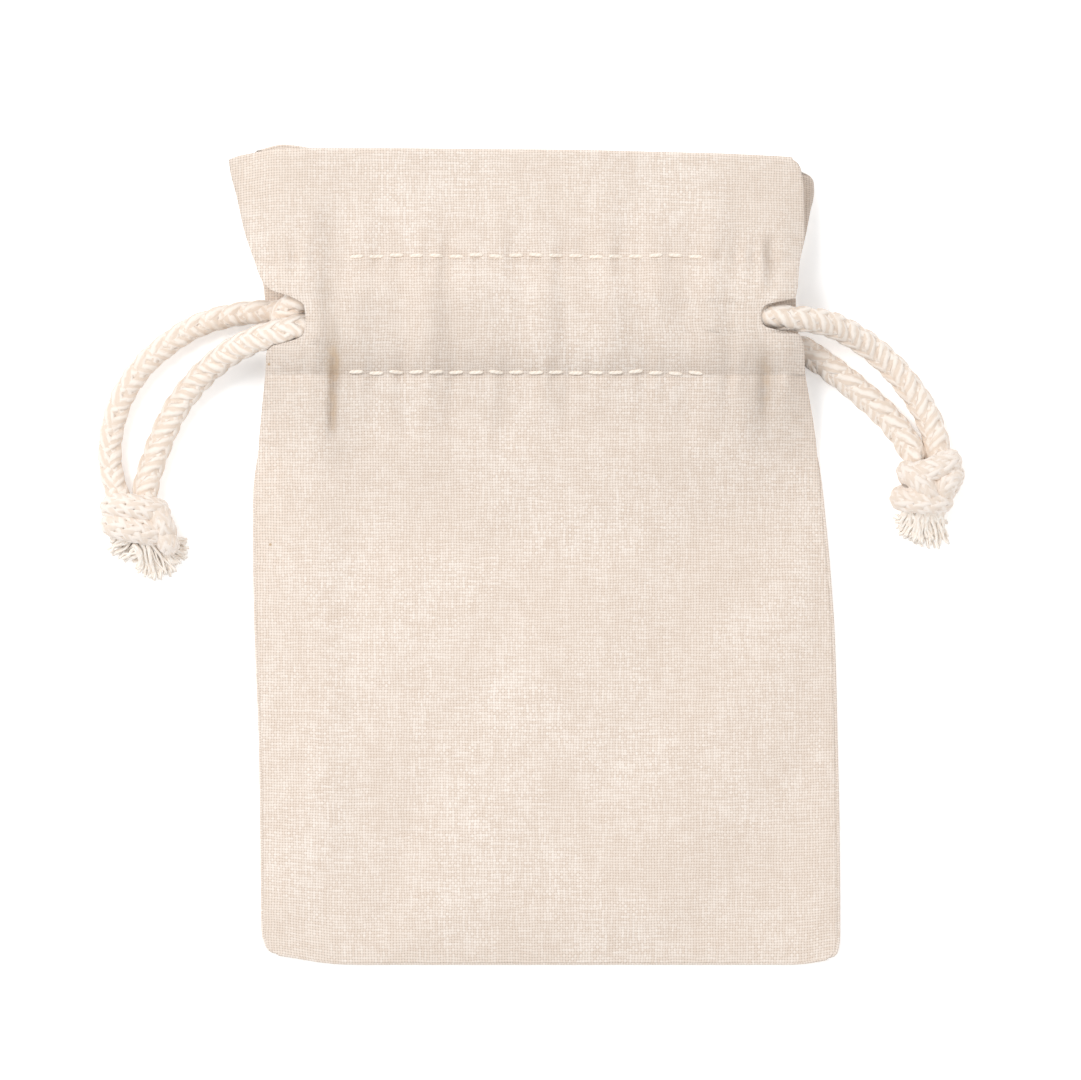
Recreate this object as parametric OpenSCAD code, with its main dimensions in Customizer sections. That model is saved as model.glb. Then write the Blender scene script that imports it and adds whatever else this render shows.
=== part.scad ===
// Small cotton drawstring gift sack, lying on its back with the mouth towards +Y.
// Z = 0 is the surface that the sack lies on, and the cloth is shown with its neck half drawn.

/* [Sack] */
// Distance from the bottom fold to the mouth edge
sack_h = 141; // [140:0.5:142]
// Thickness of one layer of cloth
cloth_t = 0.5; // [0.4:0.05:0.5]
// Height of the filled-out body above the surface at its crown
body_crown = 9; // [8.5:0.25:10]
// Width of the seam allowance inside each side seam
seam_w = 5; // [4:0.5:6]
// Y of the top of each side seam, where the side vents begin
vent_y = 17; // [16:0.5:18]

/* [Drawstring channel] */
// Y of the lower row of channel stitches
lower_stitch_y = 31.2; // [31:0.1:31.4]
// Y of the upper row of channel stitches
upper_stitch_y = 50.2; // [50:0.1:50.4]
// Open gap between the front and back hems, where things go in
mouth_gap = 4.4; // [4.3:0.1:5]
// Length of one stitch
stitch_l = 2.6; // [2:0.1:3]
// Distance from one stitch to the next
stitch_pitch = 3.4; // [3.2:0.1:4]

/* [Cords] */
// Diameter of the braided drawstring
cord_d = 4.6; // [4.4:0.1:4.6]
// Sides of a cord tube
cord_sides = 10; // [8:1:12]

/* [Hidden] */

// Gaps, levels and steps that follow from the sizes above
clear = 0.1;
vent_gap = 0.6;
stitch_t = 0.25;
bottom_y = -sack_h / 2;
mouth_y = sack_h / 2;
fold_r = 1;
seam_z = cloth_t + 2 * clear;
edge_z = 2 * fold_r - cloth_t;
back_neck_z = stitch_t + clear / 2;
back_cord_z = back_neck_z + cloth_t + clear + cord_d / 2;
back_arch = cord_d + 2 * clear;
back_hem_z = back_neck_z + cloth_t + clear / 2;
front_hem_z = back_hem_z + back_arch + cloth_t + mouth_gap;
front_neck_z = front_hem_z + cloth_t + clear / 2;
front_cord_z = front_hem_z + cloth_t + clear + cord_d / 2;
mouth_droop = 2.5;
stitch_w = 0.4;
row_start = -33;
row_end = 27;
fine = 1.2;
coarse = 5;
columns = 22;

// Side outlines of the cloth: [y, x] stations from the bottom fold up, joined by smooth curves
sack_left = [[-70.5, -45.5], [-64, -47], [-40, -47.2], [5, -48.4], [31.2, -46.4]];
sack_right = [[-70.5, 50.5], [-64, 52.2], [-30, 51.7], [5, 49.5], [31.2, 45.8]];
back_left = [[31.2, -46.4], [42, -46.4], [52, -48.6], [64, -50], [70.5, -45]];
back_right = [[31.2, 45.8], [42, 45], [52, 45.6], [65, 47.6], [70.5, 45]];
front_left = [[31.2, -46.2], [36, -40], [46, -40], [52, -48.6], [67, -52.2], [70.5, -48]];
front_right = [[31.2, 45.6], [36, 38], [46, 38], [52, 45], [66, 45.8], [70.5, 43]];
hem_left = [[31.2, -37.5], [48, -37.5], [53, -46], [66, -49.5], [70.5, -45]];
hem_right = [[31.2, 29.5], [48, 29.5], [53, 43], [66, 45], [70.5, 42]];

// Cord routes, from the knot's side inwards, chosen by hand
left_front_route = [[-39.5, 38.8, front_cord_z], [-38.5, 38.8, front_cord_z], [-34, 38.4, front_cord_z],
    [-28, 38, front_cord_z],
    [-16, 38, front_cord_z], [-5, 38, front_cord_z], [5, 37.8, front_cord_z], [11, 36.7, front_cord_z],
    [17, 35.6, front_cord_z], [22, 35.4, front_cord_z], [29.8, 35.4, front_cord_z]];
left_back_route = [[-46, 41.8, back_cord_z], [-44.5, 41.8, back_cord_z], [-34, 41.8, back_cord_z], [-20, 41.7, back_cord_z],
    [-5, 41.7, back_cord_z], [10, 41.7, back_cord_z], [29.8, 41.7, back_cord_z]];
right_front_route = [[38, 40.8, front_cord_z], [37, 40.8, front_cord_z], [33.5, 41.3, front_cord_z], [28, 42.9, front_cord_z],
    [22, 44.4, front_cord_z], [16, 44.6, front_cord_z], [4, 44.6, front_cord_z],
    [-10, 44.6, front_cord_z], [-24, 44.6, front_cord_z], [-38, 44.6, front_cord_z]];
right_back_route = [[45.2, 35.4, back_cord_z], [44, 35.4, back_cord_z], [36, 35.7, back_cord_z], [24, 36, back_cord_z],
    [8, 36, back_cord_z], [-8, 36, back_cord_z], [-24, 36, back_cord_z], [-38, 36, back_cord_z]];
left_front_tail_route = [[-39.5, 38.8, front_cord_z], [-40.5, 38.8, front_cord_z], [-42.5, 38.4, 13.3], [-44.5, 37.9, 12.5],
    [-47, 37.2, 11.2], [-49.5, 36.2, 9.5], [-52, 35, 7.5], [-54.5, 33.3, 5.5], [-57, 31.2, 3.9],
    [-59.3, 28.8, 2.9], [-61.3, 26.2, 2.5], [-62.9, 23.4, 2.4], [-64.3, 20.4, 2.4],
    [-65.4, 17.4, 2.5], [-66.4, 14.4, 2.8], [-67.2, 11, 3.3]];
left_back_tail_route = [[-46, 41.8, back_cord_z], [-47, 41.8, back_cord_z], [-49.5, 41.7, 2.8], [-52.2, 41.3, 2.5],
    [-55.4, 40.5, 2.4], [-58.6, 39.3, 2.4], [-61.6, 37.6, 2.4], [-64.4, 35.5, 2.4],
    [-67, 33.2, 2.4], [-69.2, 30.5, 2.4], [-71, 27.5, 2.4], [-72.2, 24.4, 2.4],
    [-73, 21.2, 2.4], [-73.3, 18, 2.5], [-73, 14.4, 2.8], [-72.1, 11, 3.3]];
right_front_tail_route = [[38, 40.8, front_cord_z], [39, 40.8, front_cord_z], [41, 40.7, 13.4], [43, 40.5, 12.8],
    [45.5, 40.4, 11.5], [48, 40.1, 9.9], [50.6, 39.5, 8], [53, 38.5, 6], [55.6, 37.1, 4.3],
    [58, 35.4, 3.1], [60.5, 33.2, 2.5], [62.9, 30.6, 2.4], [65, 27.8, 2.4], [66.9, 24.7, 2.5],
    [68.2, 21.6, 2.8], [68.9, 18.6, 3.3]];
right_back_tail_route = [[45.2, 35.4, back_cord_z], [45.8, 35.4, back_cord_z], [47, 34.8, 2.9], [48.2, 33.9, 2.7],
    [49.8, 32.8, 2.5], [51.4, 31.6, 2.4], [53, 30.4, 2.4], [54.6, 29.1, 2.4], [56.2, 27.7, 2.4],
    [57.6, 26.5, 2.4], [59, 25.2, 2.4], [60.3, 23.9, 2.5], [61.5, 22.6, 2.6], [62.5, 21.3, 2.8],
    [63.4, 20.1, 3], [64, 19, 3.3]];

// Round lumps that fill each knot: [x, y, z, radius]
left_lumps = [[-70.6, 7.6, 4, 3.8], [-66, 7.2, 4, 3.8], [-68, 3.8, 3.8, 3.6]];
right_lumps = [[68.6, 15.2, 4, 3.8], [65, 15.4, 3.9, 3.7], [67.6, 10.8, 3.8, 3.6]];
// Round ends of each frayed tassel: [x, y, z, radius]
left_fan = [[-68, 2.4, 3.2, 2.6], [-72, -1.4, 1.8, 1.6], [-66.8, -2.8, 1.9, 1.7], [-61.6, -1, 1.8, 1.6]];
right_fan = [[68, 8.4, 3.2, 2.6], [61.6, 4.6, 1.8, 1.6], [65.8, 2.4, 1.9, 1.7], [70.4, 3.6, 1.8, 1.6]];

function smooth(t) = t * t * (3 - 2 * t);

// Value at y of a list of [y, value] stations joined by smooth curves
function along(list, y, i = 0) =
    y <= list[0][0] ? list[0][1] :
    i >= len(list) - 1 ? list[len(list) - 1][1] :
    y <= list[i + 1][0] ?
        list[i][1] + (list[i + 1][1] - list[i][1]) * smooth((y - list[i][0]) / (list[i + 1][0] - list[i][0])) :
    along(list, y, i + 1);

// Rise of a channel between its two stitch rows, from 0 to 1
function channel(y) =
    y <= lower_stitch_y || y >= upper_stitch_y ? 0 :
    1 - pow(abs(2 * y - lower_stitch_y - upper_stitch_y) / (upper_stitch_y - lower_stitch_y), 8);

// Droop of the front of the mouth towards its edge
function droop(y) = y <= upper_stitch_y ? 0 :
    mouth_droop * smooth((y - upper_stitch_y) / (mouth_y - upper_stitch_y));

// Height of the underside of each layer; u runs from -1 at the left edge to 1 at the right edge
function front_edge_z(y) = y <= vent_y ? edge_z :
    edge_z + (front_neck_z - edge_z) * smooth((y - vent_y) / (lower_stitch_y - vent_y));
function front_crown_z(y) =
    y >= 0 ? body_crown + (front_neck_z - body_crown) * smooth(y / lower_stitch_y) :
    edge_z + (body_crown - edge_z) * (1 - pow(-y / (mouth_y - fold_r), 5));
front_body_z = function(u, y)
    front_edge_z(y) + (front_crown_z(y) - front_edge_z(y)) * (1 - pow(abs(u), 5));
front_vent_z = function(u, y) front_body_z(u, y) - cloth_t - vent_gap;
front_outer_z = function(u, y) front_neck_z + (cord_d + 2 * clear) * channel(y) - droop(y);
front_inner_z = function(u, y) front_hem_z - droop(y);
back_inner_z = function(u, y) back_hem_z + back_arch * channel(y);

// Rows from one y to another
function rows(from, to, pitch) =
    let (n = ceil((to - from) / pitch)) [for (i = [0:n]) from + (to - from) * i / n];

// One layer of cloth between two side outlines, from row to row, with its underside at height(u, y).
// part gives the share of the width that it covers, as two values of u.
module cloth(ys, left, right, height, part = [-1, 1], thickness = cloth_t) {
    n = columns;
    m = len(ys);
    under = [for (y = ys) for (i = [0:n])
        let (u = part[0] + (part[1] - part[0]) * i / n,
            x = along(left, y) + (along(right, y) - along(left, y)) * (u + 1) / 2)
        [x, y, height(u, y)]];
    over = [for (p = under) p + [0, 0, thickness]];
    w = n + 1;
    top = m * w;
    faces = concat(
        [for (j = [0:m - 2]) for (i = [0:n - 1]) each
            [[j * w + i, j * w + i + 1, (j + 1) * w + i + 1], [j * w + i, (j + 1) * w + i + 1, (j + 1) * w + i]]],
        [for (j = [0:m - 2]) for (i = [0:n - 1]) each
            [[top + j * w + i, top + (j + 1) * w + i + 1, top + j * w + i + 1],
            [top + j * w + i, top + (j + 1) * w + i, top + (j + 1) * w + i + 1]]],
        [for (i = [0:n - 1]) each [[i, top + i + 1, i + 1], [i, top + i, top + i + 1]]],
        [for (i = [0:n - 1], a = (m - 1) * w + i) each [[a, a + 1, top + a + 1], [a, top + a + 1, top + a]]],
        [for (j = [0:m - 2], a = j * w) each [[a, a + w, top + a + w], [a, top + a + w, top + a]]],
        [for (j = [0:m - 2], a = j * w + n) each [[a, top + a + w, a + w], [a, top + a, top + a + w]]]);
    polyhedron(concat(under, over), faces);
}

// A flat layer of cloth at one height between two side outlines
module flat_cloth(ys, left, right, z) {
    translate([0, 0, z])
        linear_extrude(cloth_t)
            polygon(concat([for (y = ys) [along(right, y), y]],
                [for (i = [len(ys) - 1:-1:0]) [along(left, ys[i]), ys[i]]]));
}

function unit(v) = v / norm(v);

// A round tube along a route, closed at both ends
module tube(route, d = cord_d) {
    last = len(route) - 1;
    k = cord_sides;
    points = [for (i = [0:last])
        let (t = unit(route[min(i + 1, last)] - route[max(i - 1, 0)]),
            side = unit(cross(t, [0, 0, 1]) * 100 + cross(t, [0, 1, 0]) * (abs(t[2]) > 0.99 ? 100 : 0)),
            up = cross(side, t))
        for (j = [0:k - 1]) route[i] + d / 2 * (cos(360 * j / k) * side + sin(360 * j / k) * up)];
    faces = concat([[for (j = [0:k - 1]) j]], [[for (j = [k - 1:-1:0]) last * k + j]],
        [for (i = [0:last - 1]) for (j = [0:k - 1])
            [i * k + j, (i + 1) * k + j, (i + 1) * k + (j + 1) % k, i * k + (j + 1) % k]]);
    polyhedron(points, faces);
}

// The turn of a cord round the end of the neck, from the front channel to the back one
module cord_return(x, sign, front_y, back_y) {
    turn_r = (front_cord_z - back_cord_z) / 2;
    mid_z = (front_cord_z + back_cord_z) / 2;
    turn = [for (a = [90:-15:-90])
        [x + sign * turn_r * cos(a), front_y + (back_y - front_y) * smooth((90 - a) / 180),
        mid_z + turn_r * sin(a)]];
    k = cord_sides;
    last = len(turn) - 1;
    points = [for (i = [0:last])
        let (a = 90 - 15 * i, out = [sign * cos(a), 0, sin(a)])
        for (j = [0:k - 1]) turn[i] + cord_d / 2 * (cos(360 * j / k) * out + sin(360 * j / k) * [0, -sign, 0])];
    polyhedron(points, concat([[for (j = [0:k - 1]) j]], [[for (j = [k - 1:-1:0]) last * k + j]],
        [for (i = [0:last - 1]) for (j = [0:k - 1])
            [i * k + j, (i + 1) * k + j, (i + 1) * k + (j + 1) % k, i * k + (j + 1) % k]]));
}

// A soft lump over a few balls
module lump(balls) {
    hull()
        for (b = balls)
            translate([b[0], b[1], b[2]]) sphere(r = b[3], $fn = 24);
}

// A row of stitches lying on a surface
module stitch_row(y, z) {
    for (x = [row_start:stitch_pitch:row_end])
        translate([x, y - stitch_w / 2, z]) cube([stitch_l, stitch_w, stitch_t]);
}

module back_panel() {
    color("antiquewhite") flat_cloth(rows(bottom_y + fold_r, lower_stitch_y - clear, coarse), sack_left, sack_right, 0);
}
module front_panel() {
    color("antiquewhite")
        cloth(concat(rows(bottom_y + fold_r, vent_y - coarse, coarse), rows(vent_y - fine, lower_stitch_y - clear, 2 * fine)),
            sack_left, sack_right, front_body_z);
}
module bottom_fold() {
    left = along(sack_left, bottom_y);
    color("antiquewhite") translate([left, bottom_y + fold_r, fold_r]) rotate([0, 90, 0])
        difference() {
            cylinder(r = fold_r, h = along(sack_right, bottom_y) - left, $fn = 48);
            translate([0, 0, -1]) cylinder(r = fold_r - cloth_t, h = sack_h, $fn = 48);
            translate([-2 * fold_r, 0, -1]) cube([4 * fold_r, 4 * fold_r, sack_h]);
        }
}
module side_seam(outline, sign) {
    ys = rows(bottom_y + 2 * fold_r, vent_y, coarse);
    out = [for (y = ys) [y, along(outline, y) + sign * 2 * clear]];
    in = [for (y = ys) [y, along(outline, y) + sign * seam_w]];
    translate([0, 0, seam_z])
        linear_extrude(cloth_t)
            polygon(concat([for (p = out) [p[1], p[0]]], [for (i = [len(in) - 1:-1:0]) [in[i][1], in[i][0]]]));
}
module left_side_seam() {
    color("wheat") side_seam(sack_left, 1);
}
module right_side_seam() {
    color("wheat") side_seam(sack_right, -1);
}
module back_neck() {
    color("antiquewhite") flat_cloth(rows(lower_stitch_y, mouth_y - clear, fine), back_left, back_right, back_neck_z);
}
module front_neck() {
    color("antiquewhite") cloth(rows(lower_stitch_y, mouth_y, fine), front_left, front_right, front_outer_z);
}
module back_hem() {
    color("linen") cloth(rows(lower_stitch_y, mouth_y - 2 * clear, fine), hem_left, hem_right, back_inner_z);
}
module front_hem() {
    color("linen") cloth(rows(lower_stitch_y, mouth_y - clear, fine), hem_left, hem_right, front_inner_z);
}
module back_vent_hem(outline, sign) {
    ys = rows(vent_y + clear, lower_stitch_y - 2 * clear, coarse);
    translate([0, 0, seam_z])
        linear_extrude(cloth_t)
            polygon(concat([for (y = ys) [along(outline, y) + sign * 2 * clear, y]],
                [for (i = [len(ys) - 1:-1:0]) [along(outline, ys[i]) + sign * seam_w, ys[i]]]));
}
module back_left_vent_hem() {
    color("linen") back_vent_hem(sack_left, 1);
}
module back_right_vent_hem() {
    color("linen") back_vent_hem(sack_right, -1);
}
module front_left_vent_hem() {
    color("linen") cloth(rows(vent_y + fine, lower_stitch_y - 2 * clear, 2 * fine), sack_left, sack_right,
        front_vent_z, [-0.99, -0.88]);
}
module front_right_vent_hem() {
    color("linen") cloth(rows(vent_y + fine, lower_stitch_y - 2 * clear, 2 * fine), sack_left, sack_right,
        front_vent_z, [0.88, 0.99]);
}
module front_upper_stitches() {
    color("ivory") stitch_row(upper_stitch_y + stitch_w, front_outer_z(0, upper_stitch_y) + cloth_t + clear / 2);
}
module front_lower_stitches() {
    color("ivory") stitch_row(lower_stitch_y - stitch_w, front_outer_z(0, lower_stitch_y) + cloth_t + clear / 2);
}
module back_upper_stitches() {
    color("ivory") stitch_row(upper_stitch_y + stitch_w, 0);
}
module back_lower_stitches() {
    color("ivory") stitch_row(lower_stitch_y + stitch_w, 0);
}
module left_cord_front_run() {
    color("wheat") tube(left_front_route);
}
module left_cord_back_run() {
    color("wheat") tube(left_back_route);
}
module left_cord_return() {
    color("wheat") cord_return(29.8, 1, 35.4, 41.7);
}
module left_front_tail() {
    color("wheat") tube(left_front_tail_route);
}
module left_back_tail() {
    color("wheat") tube(left_back_tail_route);
}
module left_knot() {
    color("burlywood") lump(left_lumps);
}
module left_tassel() {
    color("wheat") lump(left_fan);
}
module right_cord_front_run() {
    color("wheat") tube(right_front_route);
}
module right_cord_back_run() {
    color("wheat") tube(right_back_route);
}
module right_cord_return() {
    color("wheat") cord_return(-38, -1, 44.6, 36);
}
module right_front_tail() {
    color("wheat") tube(right_front_tail_route);
}
module right_back_tail() {
    color("wheat") tube(right_back_tail_route);
}
module right_knot() {
    color("burlywood") lump(right_lumps);
}
module right_tassel() {
    color("wheat") lump(right_fan);
}

back_panel();
front_panel();
bottom_fold();
left_side_seam();
right_side_seam();
back_neck();
front_neck();
back_hem();
front_hem();
back_left_vent_hem();
back_right_vent_hem();
front_left_vent_hem();
front_right_vent_hem();
front_upper_stitches();
front_lower_stitches();
back_upper_stitches();
back_lower_stitches();
left_cord_front_run();
left_cord_back_run();
left_cord_return();
left_front_tail();
left_back_tail();
left_knot();
left_tassel();
right_cord_front_run();
right_cord_back_run();
right_cord_return();
right_front_tail();
right_back_tail();
right_knot();
right_tassel();
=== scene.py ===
import logging
import math
from dataclasses import dataclass, field, replace
from enum import Enum
from typing import Callable

import bmesh
import bpy
import numpy as np
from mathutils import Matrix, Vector


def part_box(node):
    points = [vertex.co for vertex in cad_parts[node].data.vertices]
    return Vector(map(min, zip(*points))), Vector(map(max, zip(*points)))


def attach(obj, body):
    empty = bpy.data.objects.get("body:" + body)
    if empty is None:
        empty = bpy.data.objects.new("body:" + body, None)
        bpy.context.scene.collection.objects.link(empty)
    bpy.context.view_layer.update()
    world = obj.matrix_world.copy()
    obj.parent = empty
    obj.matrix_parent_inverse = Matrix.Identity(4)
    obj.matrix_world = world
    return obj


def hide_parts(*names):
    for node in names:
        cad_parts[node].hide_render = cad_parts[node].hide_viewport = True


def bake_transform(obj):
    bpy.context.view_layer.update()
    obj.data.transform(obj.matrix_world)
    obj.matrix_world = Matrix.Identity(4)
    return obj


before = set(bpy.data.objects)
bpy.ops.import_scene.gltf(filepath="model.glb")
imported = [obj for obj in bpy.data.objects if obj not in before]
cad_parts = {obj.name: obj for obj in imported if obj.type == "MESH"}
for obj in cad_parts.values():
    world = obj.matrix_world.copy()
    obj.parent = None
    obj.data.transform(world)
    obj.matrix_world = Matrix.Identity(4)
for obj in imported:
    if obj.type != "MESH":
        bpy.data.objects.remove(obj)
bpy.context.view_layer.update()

MM = 0.001
TINY = 1e-12
MERGE_DISTANCE = 2e-07
MARK_DEPTH = 0.01
WHITE = (1.0, 1.0, 1.0, 1.0)
Array = np.ndarray
Point = tuple[float, float, float]
TubePlace = Callable[[Array, Array, Array], tuple[Array, Array, Array]]
logging.basicConfig(level=logging.INFO, format="%(levelname)s %(message)s")
log = logging.getLogger("sack")


class Side(Enum):
    """One half of the sack, and the cord that draws that half in."""

    LEFT = "left"
    RIGHT = "right"

    @property
    def sign(self) -> float:
        """-1 on the left and 1 on the right."""
        return -1.0 if self is Side.LEFT else 1.0

    @property
    def puller(self) -> str:
        """The body of the drawstring whose turn carries this half of the neck."""
        return "right_drawstring" if self is Side.LEFT else "left_drawstring"


class Face(Enum):
    """The front or the back of the sack."""

    FRONT = "front"
    BACK = "back"


class Panel(Enum):
    """The cloth pieces of each half of each face."""

    BODY = "body"
    NECK = "neck"


class Row(Enum):
    """The two rows of stitches that bound the channel for the cords."""

    LOWER = "lower"
    UPPER = "upper"


class Edge(Enum):
    """The turned edges of the sack."""

    BOTTOM = "bottom"
    LEFT = "left"
    RIGHT = "right"

    @property
    def node(self) -> str:
        """The frame's node that this edge stands for."""
        return "bottom_fold" if self is Edge.BOTTOM else f"{self.value}_side_seam"


# ---------------------------------------------------------------- helpers


def smooth(t: Array) -> Array:
    """Smooth step of t from 0 to 1."""
    t = np.clip(t, 0.0, 1.0)
    return t * t * (3.0 - 2.0 * t)


def bell(x: Array, middle: float, width: float) -> Array:
    """A bell of height 1 at middle, that is low beyond width."""
    return np.exp(-(((x - middle) / width) ** 2))


def window(x: Array, low: float, high: float, fade: float) -> Array:
    """1 between low and high, fading to 0 over fade on both sides."""
    return smooth((x - low + fade) / fade) * smooth((high + fade - x) / fade)


def hermite(t: Array, h: Array, ends: tuple[Array, Array], slopes: tuple[Array, Array]) -> Array:
    """A cubic that runs between two ends with a given slope at each.

    Args:
        t: Shares of the way, from 0 to 1.
        h: The length of the way.
        ends: The values at the start and at the end.
        slopes: The slopes there.

    Returns:
        The value at each share.
    """
    low = (2 * t**3 - 3 * t**2 + 1) * ends[0] + (t**3 - 2 * t**2 + t) * h * slopes[0]
    return low + (3 * t**2 - 2 * t**3) * ends[1] + (t**3 - t**2) * h * slopes[1]


def unit(vectors: Array) -> Array:
    """Each row of a table of vectors, at length 1."""
    return vectors / np.maximum(np.linalg.norm(vectors, axis=1, keepdims=True), TINY)


@dataclass(frozen=True)
class Outline:
    """A smooth edge through a few stations, given as (y, x) in millimetres."""

    stations: tuple[tuple[float, float], ...]

    def at(self, y: Array) -> Array:
        """The x of the edge at each y, without swinging past a station.

        Args:
            y: Places along the sack, in millimetres.

        Returns:
            The x of the edge there, in millimetres.
        """
        ys, xs = (np.array(c, float) for c in zip(*self.stations))
        rise = np.diff(xs) / np.diff(ys)
        before, after = np.append(rise[0], rise), np.append(rise, rise[-1])
        turning = before * after <= 0
        total = np.where(turning, 1.0, before + after)
        slope = np.where(turning, 0.0, 2 * before * after / total)
        i = np.clip(np.searchsorted(ys, y) - 1, 0, len(ys) - 2)
        h = ys[i + 1] - ys[i]
        t = np.clip((y - ys[i]) / h, 0.0, 1.0)
        return hermite(t, h, (xs[i], xs[i + 1]), (slope[i], slope[i + 1]))


@dataclass(frozen=True)
class SoftFolds:
    """Gentle random waves of cloth, the same ones each time."""

    seed: int
    count: int
    wave: tuple[float, float]
    lean: float

    def at(self, x: Array, y: Array) -> Array:
        """The height of the waves, about -1 to 1.

        Args:
            x: Places across the cloth, in millimetres.
            y: Places along the cloth, in millimetres.

        Returns:
            The height at each place.
        """
        rng = np.random.default_rng(self.seed)
        total = np.zeros(np.broadcast(x, y).shape)
        for _ in range(self.count):
            length = rng.uniform(*self.wave)
            turn = rng.normal(0.0, self.lean)
            phase = rng.uniform(0.0, 2 * math.pi)
            total += np.cos(2 * math.pi / length * (x * math.cos(turn) + y * math.sin(turn)) + phase)
        return total / math.sqrt(self.count)


@dataclass(frozen=True)
class Fold:
    """One straight fold that runs along the cloth and fades out at both ends."""

    depth: float
    place: float
    width: float
    low: float
    high: float
    fade: float
    lean: float = 0.0
    pivot: float = 0.0

    def at(self, x: Array, y: Array) -> Array:
        """The depth of the fold.

        Args:
            x: Places across the cloth, in millimetres.
            y: Places along the cloth, in millimetres.

        Returns:
            The depth at each place.
        """
        across = bell(x, self.place + self.lean * (y - self.pivot), self.width)
        return self.depth * across * window(y, self.low, self.high, self.fade)


def read_points(mesh: bpy.types.Mesh) -> Array:
    """Reads a mesh's points.

    Args:
        mesh: The mesh to read.

    Returns:
        A row of three numbers for each point.
    """
    flat = np.empty(len(mesh.vertices) * 3, np.float32)
    mesh.vertices.foreach_get("co", flat)
    return flat.reshape(-1, 3).astype(float)


def grid_mesh(name: str, columns: int, rows: int, layers: bool) -> tuple[bpy.types.Mesh, Array]:
    """Makes a flat unit grid, or a thin slab of two grids, ready to be shaped.

    Args:
        name: The name of the mesh.
        columns: Cells across.
        rows: Cells along.
        layers: True for a closed slab, False for a single surface.

    Returns:
        The mesh, and for each point its share across, its share along and its layer, 0 or 1.
    """
    bm = bmesh.new()
    bmesh.ops.create_grid(bm, x_segments=columns, y_segments=rows, size=0.5)
    if layers:
        bmesh.ops.solidify(bm, geom=bm.faces[:], thickness=-MARK_DEPTH)
    bm.normal_update()
    mesh = bpy.data.meshes.new(name)
    bm.to_mesh(mesh)
    bm.free()
    grid = read_points(mesh)
    layer = (np.abs(grid[:, 2]) > 0.5 * MARK_DEPTH).astype(float)
    return mesh, np.stack([grid[:, 0] + 0.5, grid[:, 1] + 0.5, layer], axis=1)


def put_points(mesh: bpy.types.Mesh, points: Array) -> None:
    """Moves a mesh's points, given in millimetres."""
    mesh.vertices.foreach_set("co", (points * MM).astype(np.float32).ravel())
    mesh.update()


def put_uv(mesh: bpy.types.Mesh, uv: Array) -> None:
    """Gives each corner of a mesh the UV of its point.

    Args:
        mesh: The mesh.
        uv: The UV of each point.
    """
    layer = mesh.uv_layers.new(name="UVMap")
    index = np.empty(len(mesh.loops), np.int32)
    mesh.loops.foreach_get("vertex_index", index)
    layer.data.foreach_set("uv", uv[index].astype(np.float32).ravel())


def put_attribute(mesh: bpy.types.Mesh, name: str, values: Array) -> None:
    """Stores one number for each point of a mesh, for its material to read."""
    mesh.attributes.new(name, "FLOAT", "POINT").data.foreach_set("value", values.astype(np.float32))


def add_object(name: str, mesh: bpy.types.Mesh, material: bpy.types.Material) -> bpy.types.Object:
    """Puts a mesh in the scene, smooth and with one material.

    Args:
        name: The name of the piece.
        mesh: Its mesh.
        material: Its finish.

    Returns:
        The piece.
    """
    mesh.materials.append(material)
    mesh.shade_smooth()
    piece = bpy.data.objects.new(name, mesh)
    bpy.context.scene.collection.objects.link(piece)
    return piece


def report(piece: bpy.types.Object) -> bpy.types.Object:
    """Logs a finished piece and hands it back."""
    log.info("%s: %d faces", piece.name, len(piece.data.polygons))
    return piece


# ---------------------------------------------------------------- finishes


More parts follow.
